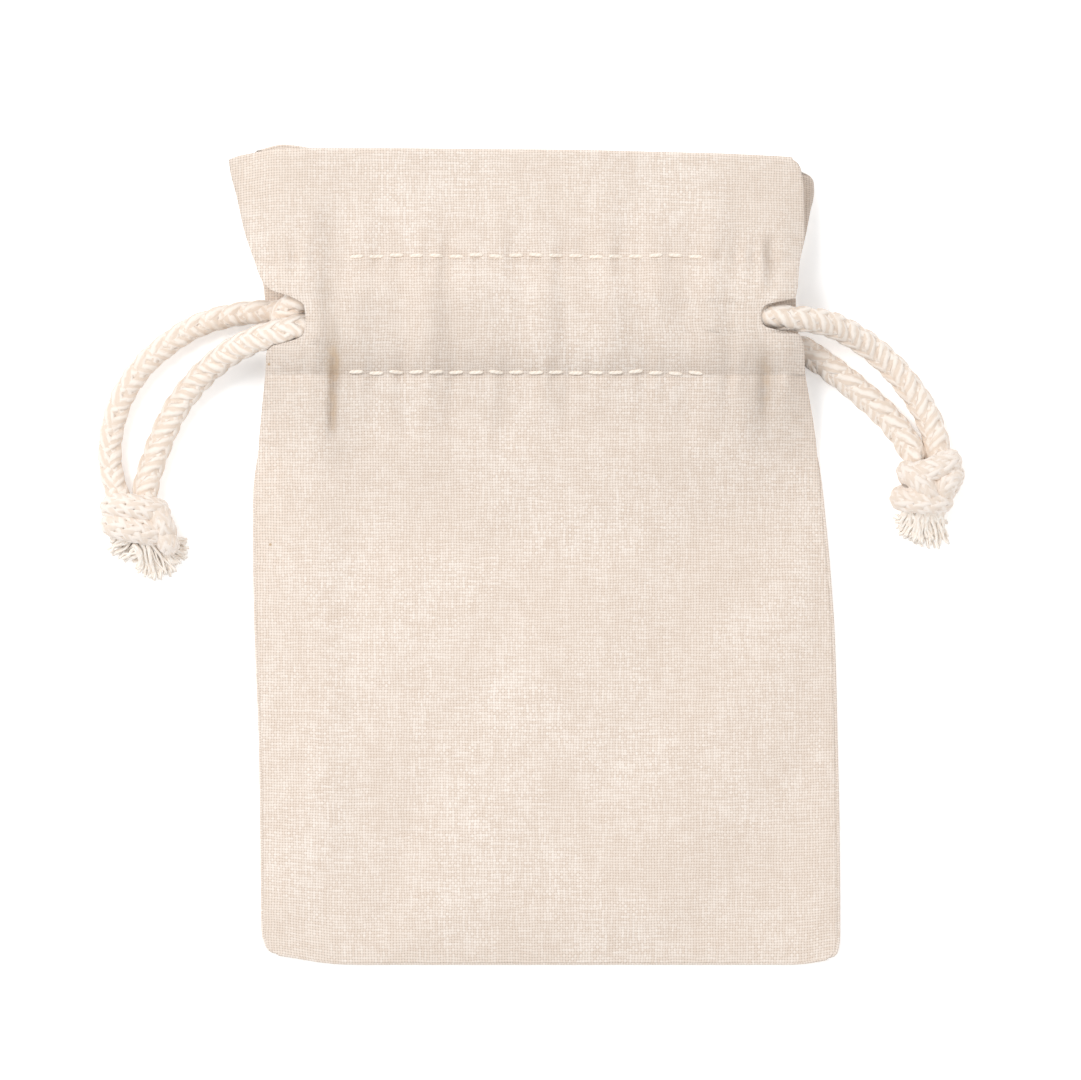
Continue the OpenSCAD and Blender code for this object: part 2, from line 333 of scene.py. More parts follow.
class Nodes:
    """Short calls for building a node tree."""

    def __init__(self, tree: bpy.types.NodeTree) -> None:
        """Keeps the tree that nodes are added to."""
        self.tree = tree

    def add(self, kind: str, **settings: object) -> bpy.types.Node:
        """Adds a node and sets its properties.

        Args:
            kind: The type of the node.
            settings: Its properties.

        Returns:
            The node.
        """
        node = self.tree.nodes.new(kind)
        for key, value in settings.items():
            setattr(node, key, value)
        return node

    def feed(self, socket: bpy.types.NodeSocket, value: object) -> None:
        """Links a socket into another one, or sets its value.

        Args:
            socket: The input to fill.
            value: Another socket, or a constant.
        """
        if isinstance(value, bpy.types.NodeSocket):
            self.tree.links.new(value, socket)
        else:
            socket.default_value = value

    def math(self, operation: str, *values: object) -> bpy.types.NodeSocket:
        """A Math node of up to three values.

        Args:
            operation: What it does.
            values: Its inputs, as sockets or constants.

        Returns:
            Its result.
        """
        node = self.add("ShaderNodeMath", operation=operation)
        for socket, value in zip(node.inputs, values):
            self.feed(socket, value)
        return node.outputs[0]

    def vector(self, operation: str, *values: object) -> bpy.types.NodeSocket:
        """A Vector Math node of up to two vectors.

        Args:
            operation: What it does.
            values: Its inputs, as sockets or constants.

        Returns:
            Its result.
        """
        node = self.add("ShaderNodeVectorMath", operation=operation)
        for socket, value in zip(node.inputs, values):
            self.feed(socket, value)
        return node.outputs[0]

    def noise(self, place: object, scale: float, detail: float = 2.0) -> bpy.types.NodeSocket:
        """A Noise node's value from 0 to 1.

        Args:
            place: The coordinates.
            scale: Waves for a unit of the coordinates.
            detail: How many finer layers.

        Returns:
            The value.
        """
        node = self.add("ShaderNodeTexNoise")
        self.feed(node.inputs["Vector"], place)
        node.inputs["Scale"].default_value = scale
        node.inputs["Detail"].default_value = detail
        return node.outputs["Fac"]

    def ramp(self, value: object, low: float, high: float) -> bpy.types.NodeSocket:
        """Maps a value between low and high to 0 to 1, smoothly.

        Args:
            value: The value to map.
            low: What becomes 0.
            high: What becomes 1.

        Returns:
            The mapped value.
        """
        node = self.add("ShaderNodeMapRange", interpolation_type="SMOOTHSTEP")
        for key, number in zip(("Value", "From Min", "From Max"), (value, low, high)):
            self.feed(node.inputs[key], number)
        return node.outputs[0]

    def falling(self, value: object, low: float, high: float) -> bpy.types.NodeSocket:
        """1 below low, falling smoothly to 0 at high."""
        return self.math("SUBTRACT", 1.0, self.ramp(value, low, high))

    def grey(self, value: object) -> bpy.types.NodeSocket:
        """A grey of the given brightness.

        Args:
            value: The brightness.

        Returns:
            The colour.
        """
        node = self.add("ShaderNodeCombineColor")
        for socket in node.inputs[:3]:
            self.feed(socket, value)
        return node.outputs[0]

    def mix(self, share: object, a: object, b: object, blend: str = "MIX") -> bpy.types.NodeSocket:
        """Mixes two colours.

        Args:
            share: How much of the second.
            a: The first colour.
            b: The second colour.
            blend: The way of mixing.

        Returns:
            The mixed colour.
        """
        node = self.add("ShaderNodeMix", data_type="RGBA", blend_type=blend)
        self.feed(node.inputs[0], share)
        self.feed(node.inputs[6], a)
        self.feed(node.inputs[7], b)
        return node.outputs[2]


def linear(red: int, green: int, blue: int) -> tuple[float, float, float, float]:
    """A screen colour as a linear one for a shader.

    Args:
        red: The red of it, from 0 to 255.
        green: The green of it.
        blue: The blue of it.

    Returns:
        The linear colour, with an alpha of 1.
    """

    def one(channel: int) -> float:
        """One channel, by the standard screen curve."""
        share = channel / 255
        return share / 12.92 if share <= 0.04045 else ((share + 0.055) / 1.055) ** 2.4

    return one(red), one(green), one(blue), 1.0


def new_material(name: str) -> tuple[bpy.types.Material, Nodes, bpy.types.Node]:
    """Starts a material.

    Args:
        name: The name of the material.

    Returns:
        The material, calls for adding to its nodes, and its Principled shader.
    """
    material = bpy.data.materials.new(name)
    material.use_nodes = True
    return material, Nodes(material.node_tree), material.node_tree.nodes["Principled BSDF"]


def weave_group() -> bpy.types.NodeTree:
    """The plain weave of the cloth, as a shader node group.

    Returns:
        A group that takes the pitch of the threads in metres, and gives the height of the threads,
        the mask of the tiny holes between them, which the cloth paints in shade, and the tone of each
        thread.
    """
    tree = bpy.data.node_groups.new("plain_weave", "ShaderNodeTree")
    tree.interface.new_socket("Pitch", in_out="INPUT", socket_type="NodeSocketFloat")
    for name in ("Height", "HoleShade", "Tone"):
        tree.interface.new_socket(name, in_out="OUTPUT", socket_type="NodeSocketFloat")
    n = Nodes(tree)
    pitch = n.add("NodeGroupInput").outputs["Pitch"]
    out = n.add("NodeGroupOutput")
    uv = n.add("ShaderNodeUVMap", uv_map="UVMap").outputs[0]
    stray = n.add("ShaderNodeTexNoise")
    n.feed(stray.inputs["Vector"], uv)
    stray.inputs["Scale"].default_value = 260.0
    stray.inputs["Detail"].default_value = 1.0
    drift = n.vector("SCALE", n.vector("SUBTRACT", stray.outputs["Color"], (0.5, 0.5, 0.5)))
    drift.node.inputs["Scale"].default_value = 0.00042
    split = n.add("ShaderNodeSeparateXYZ")
    n.feed(split.inputs[0], n.vector("ADD", uv, drift))
    across = n.math("DIVIDE", split.outputs[0], pitch)
    along = n.math("DIVIDE", split.outputs[1], pitch)
    warp = n.math("COSINE", n.math("MULTIPLY", across, math.pi))
    weft = n.math("COSINE", n.math("MULTIPLY", along, math.pi))
    over = n.math("MULTIPLY", warp, weft)

    def thread_tone(first: object, second: object, seed: float) -> bpy.types.NodeSocket:
        """The tone of each thread, that changes slowly along it.

        Args:
            first: Threads counted across.
            second: Threads counted along.
            seed: Makes the two sets of threads differ.

        Returns:
            The tone from 0 to 1.
        """
        place = n.add("ShaderNodeCombineXYZ")
        n.feed(place.inputs[0], n.math("ROUND", first))
        n.feed(place.inputs[1], n.math("MULTIPLY", second, 0.09))
        place.inputs[2].default_value = seed
        return n.noise(place.outputs[0], 1.7, 3.0)

    warp_tone = thread_tone(across, along, 3.0)
    weft_tone = thread_tone(along, across, 11.0)
    warp_on = n.math("ABSOLUTE", warp)
    weft_on = n.math("ABSOLUTE", weft)
    warp_up = n.math("MULTIPLY", n.math("POWER", warp_on, 0.6), n.math("MULTIPLY_ADD", over, 0.5, 0.62))
    weft_up = n.math("MULTIPLY", n.math("POWER", weft_on, 0.6), n.math("MULTIPLY_ADD", over, -0.5, 0.62))
    height = n.math("MAXIMUM", warp_up, weft_up)
    # Painted shade: marks the holes between loosely lying threads, which the cloth paints dark.
    gap = n.math("MULTIPLY", n.falling(warp_on, 0.12, 0.62), n.falling(weft_on, 0.12, 0.62))
    loose = n.math("MULTIPLY_ADD", n.math("MULTIPLY", warp_tone, weft_tone), -2.2, 1.45)
    hole_shade = n.math("MULTIPLY", gap, n.math("MAXIMUM", loose, 0.0))
    above = n.math("GREATER_THAN", over, 0.0)
    tone = n.add("ShaderNodeMix", data_type="FLOAT")
    n.feed(tone.inputs[0], above)
    n.feed(tone.inputs[2], weft_tone)
    n.feed(tone.inputs[3], warp_tone)
    n.feed(out.inputs["Height"], height)
    n.feed(out.inputs["HoleShade"], hole_shade)
    n.feed(out.inputs["Tone"], tone.outputs[0])
    return tree


def speck_mask(n: Nodes, uv: object) -> bpy.types.NodeSocket:
    """A mask of the few dark seed specks that natural cotton keeps.

    Args:
        n: The material's nodes.
        uv: The cloth's own coordinates, in metres.

    Returns:
        1 on a speck and 0 elsewhere.
    """
    cells = n.add("ShaderNodeTexVoronoi")
    n.feed(cells.inputs["Vector"], uv)
    cells.inputs["Scale"].default_value = 130.0
    split = n.add("ShaderNodeSeparateColor")
    n.feed(split.inputs[0], cells.outputs["Color"])
    rare = n.math("GREATER_THAN", split.outputs[0], 0.955)
    return n.math("MULTIPLY", rare, n.falling(cells.outputs["Distance"], 0.02, 0.042))


def soft_surface(n: Nodes, shader: bpy.types.Node, raised: bpy.types.NodeSocket, sheen: float,
        strength: float, relief: float) -> None:
    """Gives a shader the dull sheen and the bump of cotton.

    Args:
        n: The material's nodes.
        shader: Its Principled shader.
        raised: The height of the surface.
        sheen: The weight of the sheen.
        strength: The strength of the bump.
        relief: The height of the bump, in metres.
    """
    settings = {"Specular IOR Level": 0.2, "Sheen Weight": sheen, "Sheen Roughness": 0.5}
    for name, value in settings.items():
        shader.inputs[name].default_value = value
    bump = n.add("ShaderNodeBump")
    bump.inputs["Strength"].default_value = strength
    bump.inputs["Distance"].default_value = relief
    n.feed(bump.inputs["Height"], raised)
    n.feed(shader.inputs["Normal"], bump.outputs[0])


@dataclass(frozen=True)
class ClothFinish:
    """Unbleached plain-weave cotton cloth."""

    name: str
    thread: tuple[int, int, int]
    shade: tuple[int, int, int]
    # Painted shade: the colour seen in the holes between the threads.
    hole_shade: tuple[int, int, int]
    pitch: float = 0.000485

    def make(self, weave: bpy.types.NodeTree) -> bpy.types.Material:
        """Builds the cloth's material.

        Args:
            weave: The shared weave group.

        Returns:
            The material.
        """
        material, n, shader = new_material(self.name)
        uv = n.add("ShaderNodeUVMap", uv_map="UVMap").outputs[0]
        cloth = n.add("ShaderNodeGroup", node_tree=weave)
        cloth.inputs["Pitch"].default_value = self.pitch
        painted_shade = n.add("ShaderNodeAttribute", attribute_name="PaintedShade").outputs["Fac"]
        tone = n.ramp(cloth.outputs["Tone"], 0.33, 0.66)
        colour = n.mix(tone, linear(*self.shade), linear(*self.thread))
        cloud = n.ramp(n.noise(uv, 48.0, 3.0), 0.3, 0.7)
        colour = n.mix(n.math("MULTIPLY", cloud, 0.5), colour, linear(*self.shade))
        streaky = n.vector("MULTIPLY", uv, (1.0, 0.16, 1.0))
        streak = n.ramp(n.noise(streaky, 420.0, 3.0), 0.42, 0.72)
        colour = n.mix(n.math("MULTIPLY", streak, 0.4), colour, linear(*self.shade))
        slub = n.ramp(n.noise(n.vector("MULTIPLY", uv, (0.1, 1.0, 1.0)), 900.0, 2.0), 0.5, 0.8)
        colour = n.mix(n.math("MULTIPLY", slub, 0.5), colour, linear(*self.shade))
        # Painted shade: the cloth is darker where its threads lie low and lighter on their crowns.
        relief_shade = n.math("MULTIPLY_ADD", cloth.outputs["Height"], 0.26, 0.765)
        colour = n.mix(1.0, colour, n.grey(relief_shade), "MULTIPLY")
        # Painted shade in the holes between the threads.
        colour = n.mix(n.math("MULTIPLY", cloth.outputs["HoleShade"], 0.75), colour, linear(*self.hole_shade))
        # Painted shade: the attribute read above darkens the creases and the gathered channel, and the
        # creases' lowest parts are painted an orange brown, in patches, for the shade in them.
        patchy = n.ramp(n.noise(uv, 420.0, 3.0), 0.25, 0.7)
        sharp = n.math("MULTIPLY", n.ramp(painted_shade, 0.28, 1.0), patchy)
        colour = n.mix(1.0, colour, n.grey(n.math("MULTIPLY_ADD", painted_shade, -0.34, 1.0)), "MULTIPLY")
        colour = n.mix(n.math("MULTIPLY", sharp, 0.55), colour, linear(208, 178, 142))
        colour = n.mix(speck_mask(n, uv), colour, linear(196, 170, 142))
        n.feed(shader.inputs["Base Color"], colour)
        rough = n.math("MULTIPLY_ADD", cloth.outputs["Tone"], 0.1, 0.86)
        n.feed(shader.inputs["Roughness"], rough)
        fluff = n.noise(uv, 5200.0, 2.0)
        raised = n.math("MULTIPLY_ADD", fluff, 0.25, cloth.outputs["Height"])
        soft_surface(n, shader, raised, sheen=0.25, strength=0.55, relief=0.00012)
        return material


@dataclass(frozen=True)
class YarnFinish:
    """Soft twisted cotton yarn, as in a cord, a tassel or sewing thread."""

    name: str
    # The light colour is for the crowns of the plies, the shade colour for painted shade between them and
    # for random blotches, and the crevice colour for painted shade where the strands lie low.
    light: tuple[int, int, int]
    shade: tuple[int, int, int]
    crevice_shade: tuple[int, int, int]
    ply_turns: float
    ply_pitch: float
    relief: float

    def make(self) -> bpy.types.Material:
        """Builds the yarn's material, with its plies running round each strand and painted shade between
        them and in the cord's crevices.

        Returns:
            The material.
        """
        material, n, shader = new_material(self.name)
        uv = n.add("ShaderNodeUVMap", uv_map="UVMap").outputs[0]
        split = n.add("ShaderNodeSeparateXYZ")
        n.feed(split.inputs[0], uv)
        lead = n.math("DIVIDE", split.outputs[1], self.ply_pitch)
        turn = n.math("MULTIPLY_ADD", split.outputs[0], self.ply_turns, lead)
        place = n.add("ShaderNodeTexCoord").outputs["Object"]
        wander = n.noise(place, 900.0, 2.0)
        ply = n.math("SINE", n.math("MULTIPLY", n.math("MULTIPLY_ADD", wander, 0.6, turn), 2 * math.pi))
        depth = n.add("ShaderNodeAttribute", attribute_name="Depth").outputs["Fac"]
        fibre_place = n.add("ShaderNodeCombineXYZ")
        n.feed(fibre_place.inputs[0], n.math("MULTIPLY", turn, 5.0))
        n.feed(fibre_place.inputs[1], n.math("MULTIPLY", split.outputs[1], 260.0))
        fibre = n.noise(fibre_place.outputs[0], 1.0, 3.0)
        # The ply pattern paints the plies light on their crowns and in shade between them; the fibre noise
        # adds their own random tone.
        tone = n.math("MULTIPLY_ADD", ply, 0.32, fibre)
        colour = n.mix(n.ramp(tone, 0.2, 0.75), linear(*self.shade), linear(*self.light))
        blotch = n.ramp(n.noise(place, 240.0, 2.0), 0.55, 0.75)
        colour = n.mix(n.math("MULTIPLY", blotch, 0.45), colour, linear(*self.shade))
        # Painted shade, speckled, where the strands lie low in the cord.
        speckle = n.ramp(n.noise(place, 1100.0, 2.0), 0.35, 0.6)
        colour = n.mix(n.math("MULTIPLY", n.ramp(depth, 0.3, 1.0), speckle), colour, linear(*self.crevice_shade))
        n.feed(shader.inputs["Base Color"], colour)
        n.feed(shader.inputs["Roughness"], n.math("MULTIPLY_ADD", fibre, 0.15, 0.8))
        raised = n.math("MULTIPLY_ADD", ply, 0.7, fibre)
        soft_surface(n, shader, raised, sheen=0.35, strength=0.6, relief=self.relief)
        return material


@dataclass
class Finishes:
    """Every material of the sack, made once."""

    cloth: bpy.types.Material = field(init=False)
    hem: bpy.types.Material = field(init=False)
    thread: bpy.types.Material = field(init=False)
    cord: bpy.types.Material = field(init=False)
    knot: bpy.types.Material = field(init=False)
    tassel: bpy.types.Material = field(init=False)

    def __post_init__(self) -> None:
        """Makes the materials."""
        weave = weave_group()
        cloth = ClothFinish("natural_cotton", (247, 236, 226), (231, 215, 201), (164, 134, 106))
        hem = ClothFinish("natural_cotton_hem", (246, 234, 222), (234, 218, 202), (160, 132, 104))
        thread = YarnFinish("sewing_thread", (246, 237, 226), (238, 226, 212), (208, 188, 166),
            ply_turns=2, ply_pitch=0.0009, relief=0.00004)
        cord = YarnFinish("cord_cotton", (246, 236, 226), (232, 215, 199), (212, 170, 132),
            ply_turns=4, ply_pitch=0.0042, relief=0.00016)
        knot = YarnFinish("knot_cotton", (243, 233, 224), (232, 217, 203), (222, 194, 166),
            ply_turns=2, ply_pitch=0.0030, relief=0.00010)
        tassel = YarnFinish("tassel_cotton", (254, 248, 240), (249, 237, 225), (241, 220, 198),
            ply_turns=2, ply_pitch=0.0016, relief=0.00006)
        self.cloth, self.hem = cloth.make(weave), hem.make(weave)
        self.thread, self.cord = thread.make(), cord.make()
        self.knot, self.tassel = knot.make(), tassel.make()


# ---------------------------------------------------------------- cords


class Route:
    """A smooth line through given points, in millimetres, with a frame that never twists."""

    def __init__(self, points: list[Point], step: float = 0.1) -> None:
        """Follows the points closely and measures the line.

        Args:
            points: The points that the line passes through.
            step: The distance between the points of the finished line.
        """
        p = np.array(points, float)
        knots = np.concatenate([[0.0], np.cumsum(np.linalg.norm(np.diff(p, axis=0), axis=1))])
        slope = np.gradient(p, knots, axis=0)
        u = np.linspace(0.0, knots[-1], int(knots[-1] / step) + 2)
        i = np.clip(np.searchsorted(knots, u) - 1, 0, len(knots) - 2)
        h = (knots[i + 1] - knots[i])[:, None]
        t = (u - knots[i])[:, None] / h
        self.line = hermite(t, h, (p[i], p[i + 1]), (slope[i], slope[i + 1]))
        self.run = np.concatenate([[0.0], np.cumsum(np.linalg.norm(np.diff(self.line, axis=0), axis=1))])
        self.ahead = unit(np.gradient(self.line, axis=0))
        side = np.cross(self.ahead[0], (0.0, 0.0, 1.0))
        sides = []
        for direction in self.ahead:
            side = side - direction * (side @ direction)
            side = side / np.linalg.norm(side)
            sides.append(side)
        self.side = np.array(sides)

    @property
    def length(self) -> float:
        """The length of the line."""
        return float(self.run[-1])

    def nearest(self, point: Point) -> float:
        """How far along the line lies closest to a point."""
        return float(self.run[np.argmin(np.linalg.norm(self.line - np.array(point), axis=1))])

    def pick(self, table: Array, s: Array) -> Array:
        """Reads a table of vectors at distances along the line."""
        return np.stack([np.interp(s, self.run, table[:, k]) for k in range(3)], axis=-1)

    def around(self, s: Array, angle: Array) -> tuple[Array, Array]:
        """The line's points, and the outward directions at an angle round it.

        Args:
            s: Distances along the line.
            angle: Angles round it, in radians.

        Returns:
            The points and the outward directions.
        """
        ahead, side = self.pick(self.ahead, s), self.pick(self.side, s)
        up = np.cross(side, ahead)
        turn = np.asarray(angle)[:, None]
        return self.pick(self.line, s), side * np.cos(turn) + up * np.sin(turn)


def tube_mesh(name: str, count: int, sides: int, rows: int, place: TubePlace) -> bpy.types.Mesh:
    """Makes a bundle of closed tubes from unit grids.

    Args:
        name: The name of the mesh.
        count: How many tubes.
        sides: Faces round each tube.
        rows: Faces along each tube.
        place: Gives for each share round, share along and tube number the points in millimetres,
            the length along the tube in millimetres and the depth from 0 to 1, which the yarn finishes paint
            in shade.

    Returns:
        The mesh, with its UV and its "Depth" attribute.
    """
    bm = bmesh.new()
    for index in range(count):
        made = bmesh.ops.create_grid(bm, x_segments=sides, y_segments=rows, size=0.5)
        bmesh.ops.translate(bm, verts=made["verts"], vec=(0.5, 0.5, index))
    mesh = bpy.data.meshes.new(name)
    bm.to_mesh(mesh)
    grid = read_points(mesh)
    points, run, depth = place(grid[:, 0] % 0.99999, grid[:, 1], np.rint(grid[:, 2]).astype(int))
    put_points(mesh, points)
    put_uv(mesh, np.stack([grid[:, 0], run * MM], axis=1))
    put_attribute(mesh, "Depth", np.clip(depth, 0.0, 1.0))
    bm.clear()
    bm.from_mesh(mesh)
    bmesh.ops.remove_doubles(bm, verts=bm.verts[:], dist=MERGE_DISTANCE)
    bmesh.ops.holes_fill(bm, edges=[e for e in bm.edges if e.is_boundary], sides=0)
    bmesh.ops.recalc_face_normals(bm, faces=bm.faces[:])
    bm.to_mesh(mesh)
    bm.free()
    return mesh


@dataclass(frozen=True)
class Braid:
    """A soft round plait, half of its strands turning each way, over two and under two."""

    diameter: float = 4.8
    lay: float = 14.4
    strand_width: float = 1.18
    strand_height: float = 0.68
    rise: float = 0.24
    strands: int = 8
    swell: float = 0.0
    swell_at: float = 0.0
    swell_reach: float = 6.0

    def strand(self, route: Route, s: Array, index: Array) -> tuple[Array, Array]:
        """The middle of each strand, and the outward direction there.

        Args:
            route: The cord's line.
            s: Distances along the line.
            index: The number of the strand, the even ones turning one way and the odd ones the other.

        Returns:
            The points and the outward directions.
        """
        way = np.where(index % 2 == 0, 1.0, -1.0)
        number = index // 2
        angle = way * 2 * math.pi * s / self.lay + number * 4 * math.pi / self.strands
        beat = way * self.strands * s / self.lay + 2 * number
        wave = way * np.cos(math.pi * beat / 2 - way * math.pi / 4)
        middle, outward = route.around(s, angle)
        radius = 0.5 * self.diameter - self.strand_height - self.rise + self.rise * wave
        radius = radius + self.swell * bell(s, self.swell_at, self.swell_reach)
        return middle + outward * radius[:, None], outward

    def mesh(self, name: str, route: Route, low: float, high: float, step: float = 0.42) -> bpy.types.Mesh:
        """Plaits a stretch of a route.

        Args:
            name: The name of the mesh.
            route: The cord's line.
            low: Where the stretch starts along the line.
            high: Where it ends.
            step: The length of a face.

        Returns:
            The mesh of all the strands and the soft heart inside them.
        """

        def place(share: Array, along: Array, index: Array) -> tuple[Array, Array, Array]:
            """Places the points of each strand, and of the heart as the last one.

            Args:
                share: Shares round the strand.
                along: Shares along it.
                index: The number of the strand.

            Returns:
                The points, the length along the strand and the depth.
            """
            s = low + (high - low) * along
            middle, outward = self.strand(route, s, index)
            ahead = self.strand(route, s + 0.05, index)[0] - self.strand(route, s - 0.05, index)[0]
            beside = unit(np.cross(unit(ahead), outward))
            turn = 2 * math.pi * share
            uneven = 1 + 0.09 * np.sin(s * 1.9 + index * 2.3) + 0.06 * np.sin(s * 4.7 + index)
            heart = index == self.strands
            swelling = self.swell * bell(s, self.swell_at, self.swell_reach)
            core = 0.5 * self.diameter - 0.68 + swelling
            fuller = 1 + swelling / (0.5 * self.diameter)
            wide = np.where(heart, core, self.strand_width * uneven * fuller) * np.cos(turn)
            high_part = np.where(heart, core, self.strand_height) * np.sin(turn)
            middle = np.where(heart[:, None], route.pick(route.line, s), middle)
            points = middle + beside * wide[:, None] + outward * high_part[:, None]
            reach = np.linalg.norm(points - route.pick(route.line, s), axis=1) - swelling
            # Painted shade: a strand is darker where it turns in towards the heart, and the heart is a
            # little darker.
            depth = np.where(heart, 0.5, (0.5 * self.diameter - 0.2 - reach) / 0.75)
            return points, s * 1.22, depth

        rows = max(2, int((high - low) / step))
        return tube_mesh(name, self.strands + 1, 10, rows, place)


@dataclass
class Drawstring:
    """One cord: its two runs through the neck, its turn round the far side and its two tails."""

    side: Side
    front_tail: tuple[Point, ...]
    front_run: tuple[Point, ...]
    back_run: tuple[Point, ...]
    back_tail: tuple[Point, ...]
    braid: Braid = Braid()
    turn_steps: int = 12
    give: float = 20.0
    hidden: float = 6.5
    turn_swell: float = 0.0
    route: Route = field(init=False)
    tails: dict[str, tuple[float, float]] = field(init=False)
    exits: dict[str, Point] = field(init=False)

    def turn(self) -> list[Point]:
        """The half circle that joins the end of the front run to the end of the back run.

        Returns:
            The points between those two ends.
        """
        (x, y0, z0), (_, y1, z1) = self.front_run[-1], self.back_run[-1]
        radius, middle = (z0 - z1) / 2, (z0 + z1) / 2
        points = []
        for k in range(1, self.turn_steps):
            angle = math.pi * k / self.turn_steps
            y = y0 + (y1 - y0) * float(smooth(np.array(k / self.turn_steps)))
            out = self.side.sign * radius * math.sin(angle)
            points.append((x - out, y, middle + radius * math.cos(angle)))
        return points

    def make(self, finish: bpy.types.Material) -> dict[str, bpy.types.Object]:
        """Plaits the whole cord in five pieces along one line.

        Args:
            finish: The cord's material.

        Returns:
            The five pieces, by name.
        """
        there = [*reversed(self.front_tail), *self.front_run[1:]]
        back = [*reversed(self.back_run), *self.back_tail[1:]]
        route = Route([*there, *self.turn(), *back])
        self.route = route
        exits = route.nearest(self.front_run[0]), route.nearest(self.back_run[0])
        stops = [0.0, exits[0] + self.hidden, route.nearest(self.front_run[-1]),
            route.nearest(self.back_run[-1]), exits[1] - self.hidden, route.length]
        parts = ("front_tail", "cord_front_run", "cord_return", "cord_back_run", "back_tail")
        made = {}
        for part, low, high in zip(parts, stops, stops[1:]):
            name = f"{self.side.value}_{part}"
            braid = replace(self.braid, swell=self.turn_swell, swell_at=(stops[2] + stops[3]) / 2)
            piece = add_object(f"{name}_braid", braid.mesh(name, route, low, high), finish)
            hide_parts(name)
            if part == "front_tail":
                self.hinge_tail(piece, exits[0], low)
            elif part == "back_tail":
                self.hinge_tail(piece, exits[1], high)
            else:
                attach(piece, f"{self.side.value}_drawstring")
            made[part] = report(piece)
        self.tails = {"front_tail": (stops[1], 0.0), "back_tail": (stops[4], stops[5])}
        self.exits = {"front_tail": self.front_run[0], "back_tail": self.back_run[0]}
        log.info("%s cord: %.0f mm between its knot's two ends", self.side.value, route.length)
        return made

    def hinge_tail(self, piece: bpy.types.Object, exit_at: float, end_at: float) -> None:
        """Bakes a tail's placement into its mesh, after working out the point just outside the neck where it
        would bend.

        Args:
            piece: The tail.
            exit_at: Where it leaves the neck, along the cord.
            end_at: Where its other end lies.
        """
        bend = exit_at + math.copysign(self.give, end_at - exit_at)
        start, end = (self.route.pick(self.route.line, np.array([s]))[0] * MM for s in (exit_at, bend))
        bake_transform(piece)

    def declare(self, made: dict[str, bpy.types.Object], ends: list[bpy.types.Object]) -> None:
        """Works out a path along each tail, and does nothing with it.

        Args:
            made: The two tails, by name. Not used.
            ends: The knot and the tassel. Not used.
        """
        for part, (exit_at, end_at) in self.tails.items():
            steps = np.linspace(exit_at, end_at, 60)
            path = (self.route.pick(self.route.line, steps) * MM).tolist()


FRONT_Z = 13.15
BACK_Z = 3.2

LEFT_CORD = Drawstring(
    Side.LEFT,
    front_tail=((-39.5, 38.8, FRONT_Z), (-40.5, 38.8, FRONT_Z), (-42.5, 38.4, 13.1), (-44.5, 37.9, 12.4),
        (-47, 37.2, 11.2), (-49.5, 36.2, 9.5), (-52, 35, 7.5), (-54.5, 33.3, 5.5), (-57, 31.2, 3.9),
        (-59.3, 28.8, 2.9), (-61.3, 26.2, 2.5), (-62.9, 23.4, 2.4), (-64.3, 20.4, 2.4), (-65.4, 17.4, 2.5),
        (-66.4, 14.4, 2.8), (-67.2, 11, 3.3), (-67.6, 8, 3.8)),
    front_run=((-39.5, 38.8, FRONT_Z), (-38.5, 38.8, FRONT_Z), (-34, 38.4, FRONT_Z), (-28, 38, FRONT_Z),
        (-16, 38, FRONT_Z), (-5, 38, FRONT_Z), (5, 37.8, FRONT_Z), (11, 36.7, FRONT_Z), (17, 35.6, FRONT_Z),
        (22, 35.4, FRONT_Z), (29.8, 35.4, FRONT_Z)),
    back_run=((-46, 41.8, BACK_Z), (-44.5, 41.8, BACK_Z), (-34, 41.8, BACK_Z), (-20, 41.7, BACK_Z),
        (-5, 41.7, BACK_Z), (10, 41.7, BACK_Z), (29.8, 41.7, BACK_Z)),
    back_tail=((-46, 41.8, BACK_Z), (-47, 41.8, BACK_Z), (-49.5, 41.7, 2.8), (-52.2, 41.3, 2.5),
        (-55.4, 40.5, 2.4), (-58.6, 39.3, 2.4), (-61.6, 37.6, 2.4), (-64.4, 35.5, 2.4), (-67, 33.2, 2.4),
        (-69.2, 30.5, 2.4), (-71, 27.5, 2.4), (-72.2, 24.4, 2.4), (-73, 21.2, 2.4), (-73.3, 18, 2.5),
        (-73, 14.4, 2.8), (-72.1, 11, 3.3), (-71, 8, 3.8)),
)

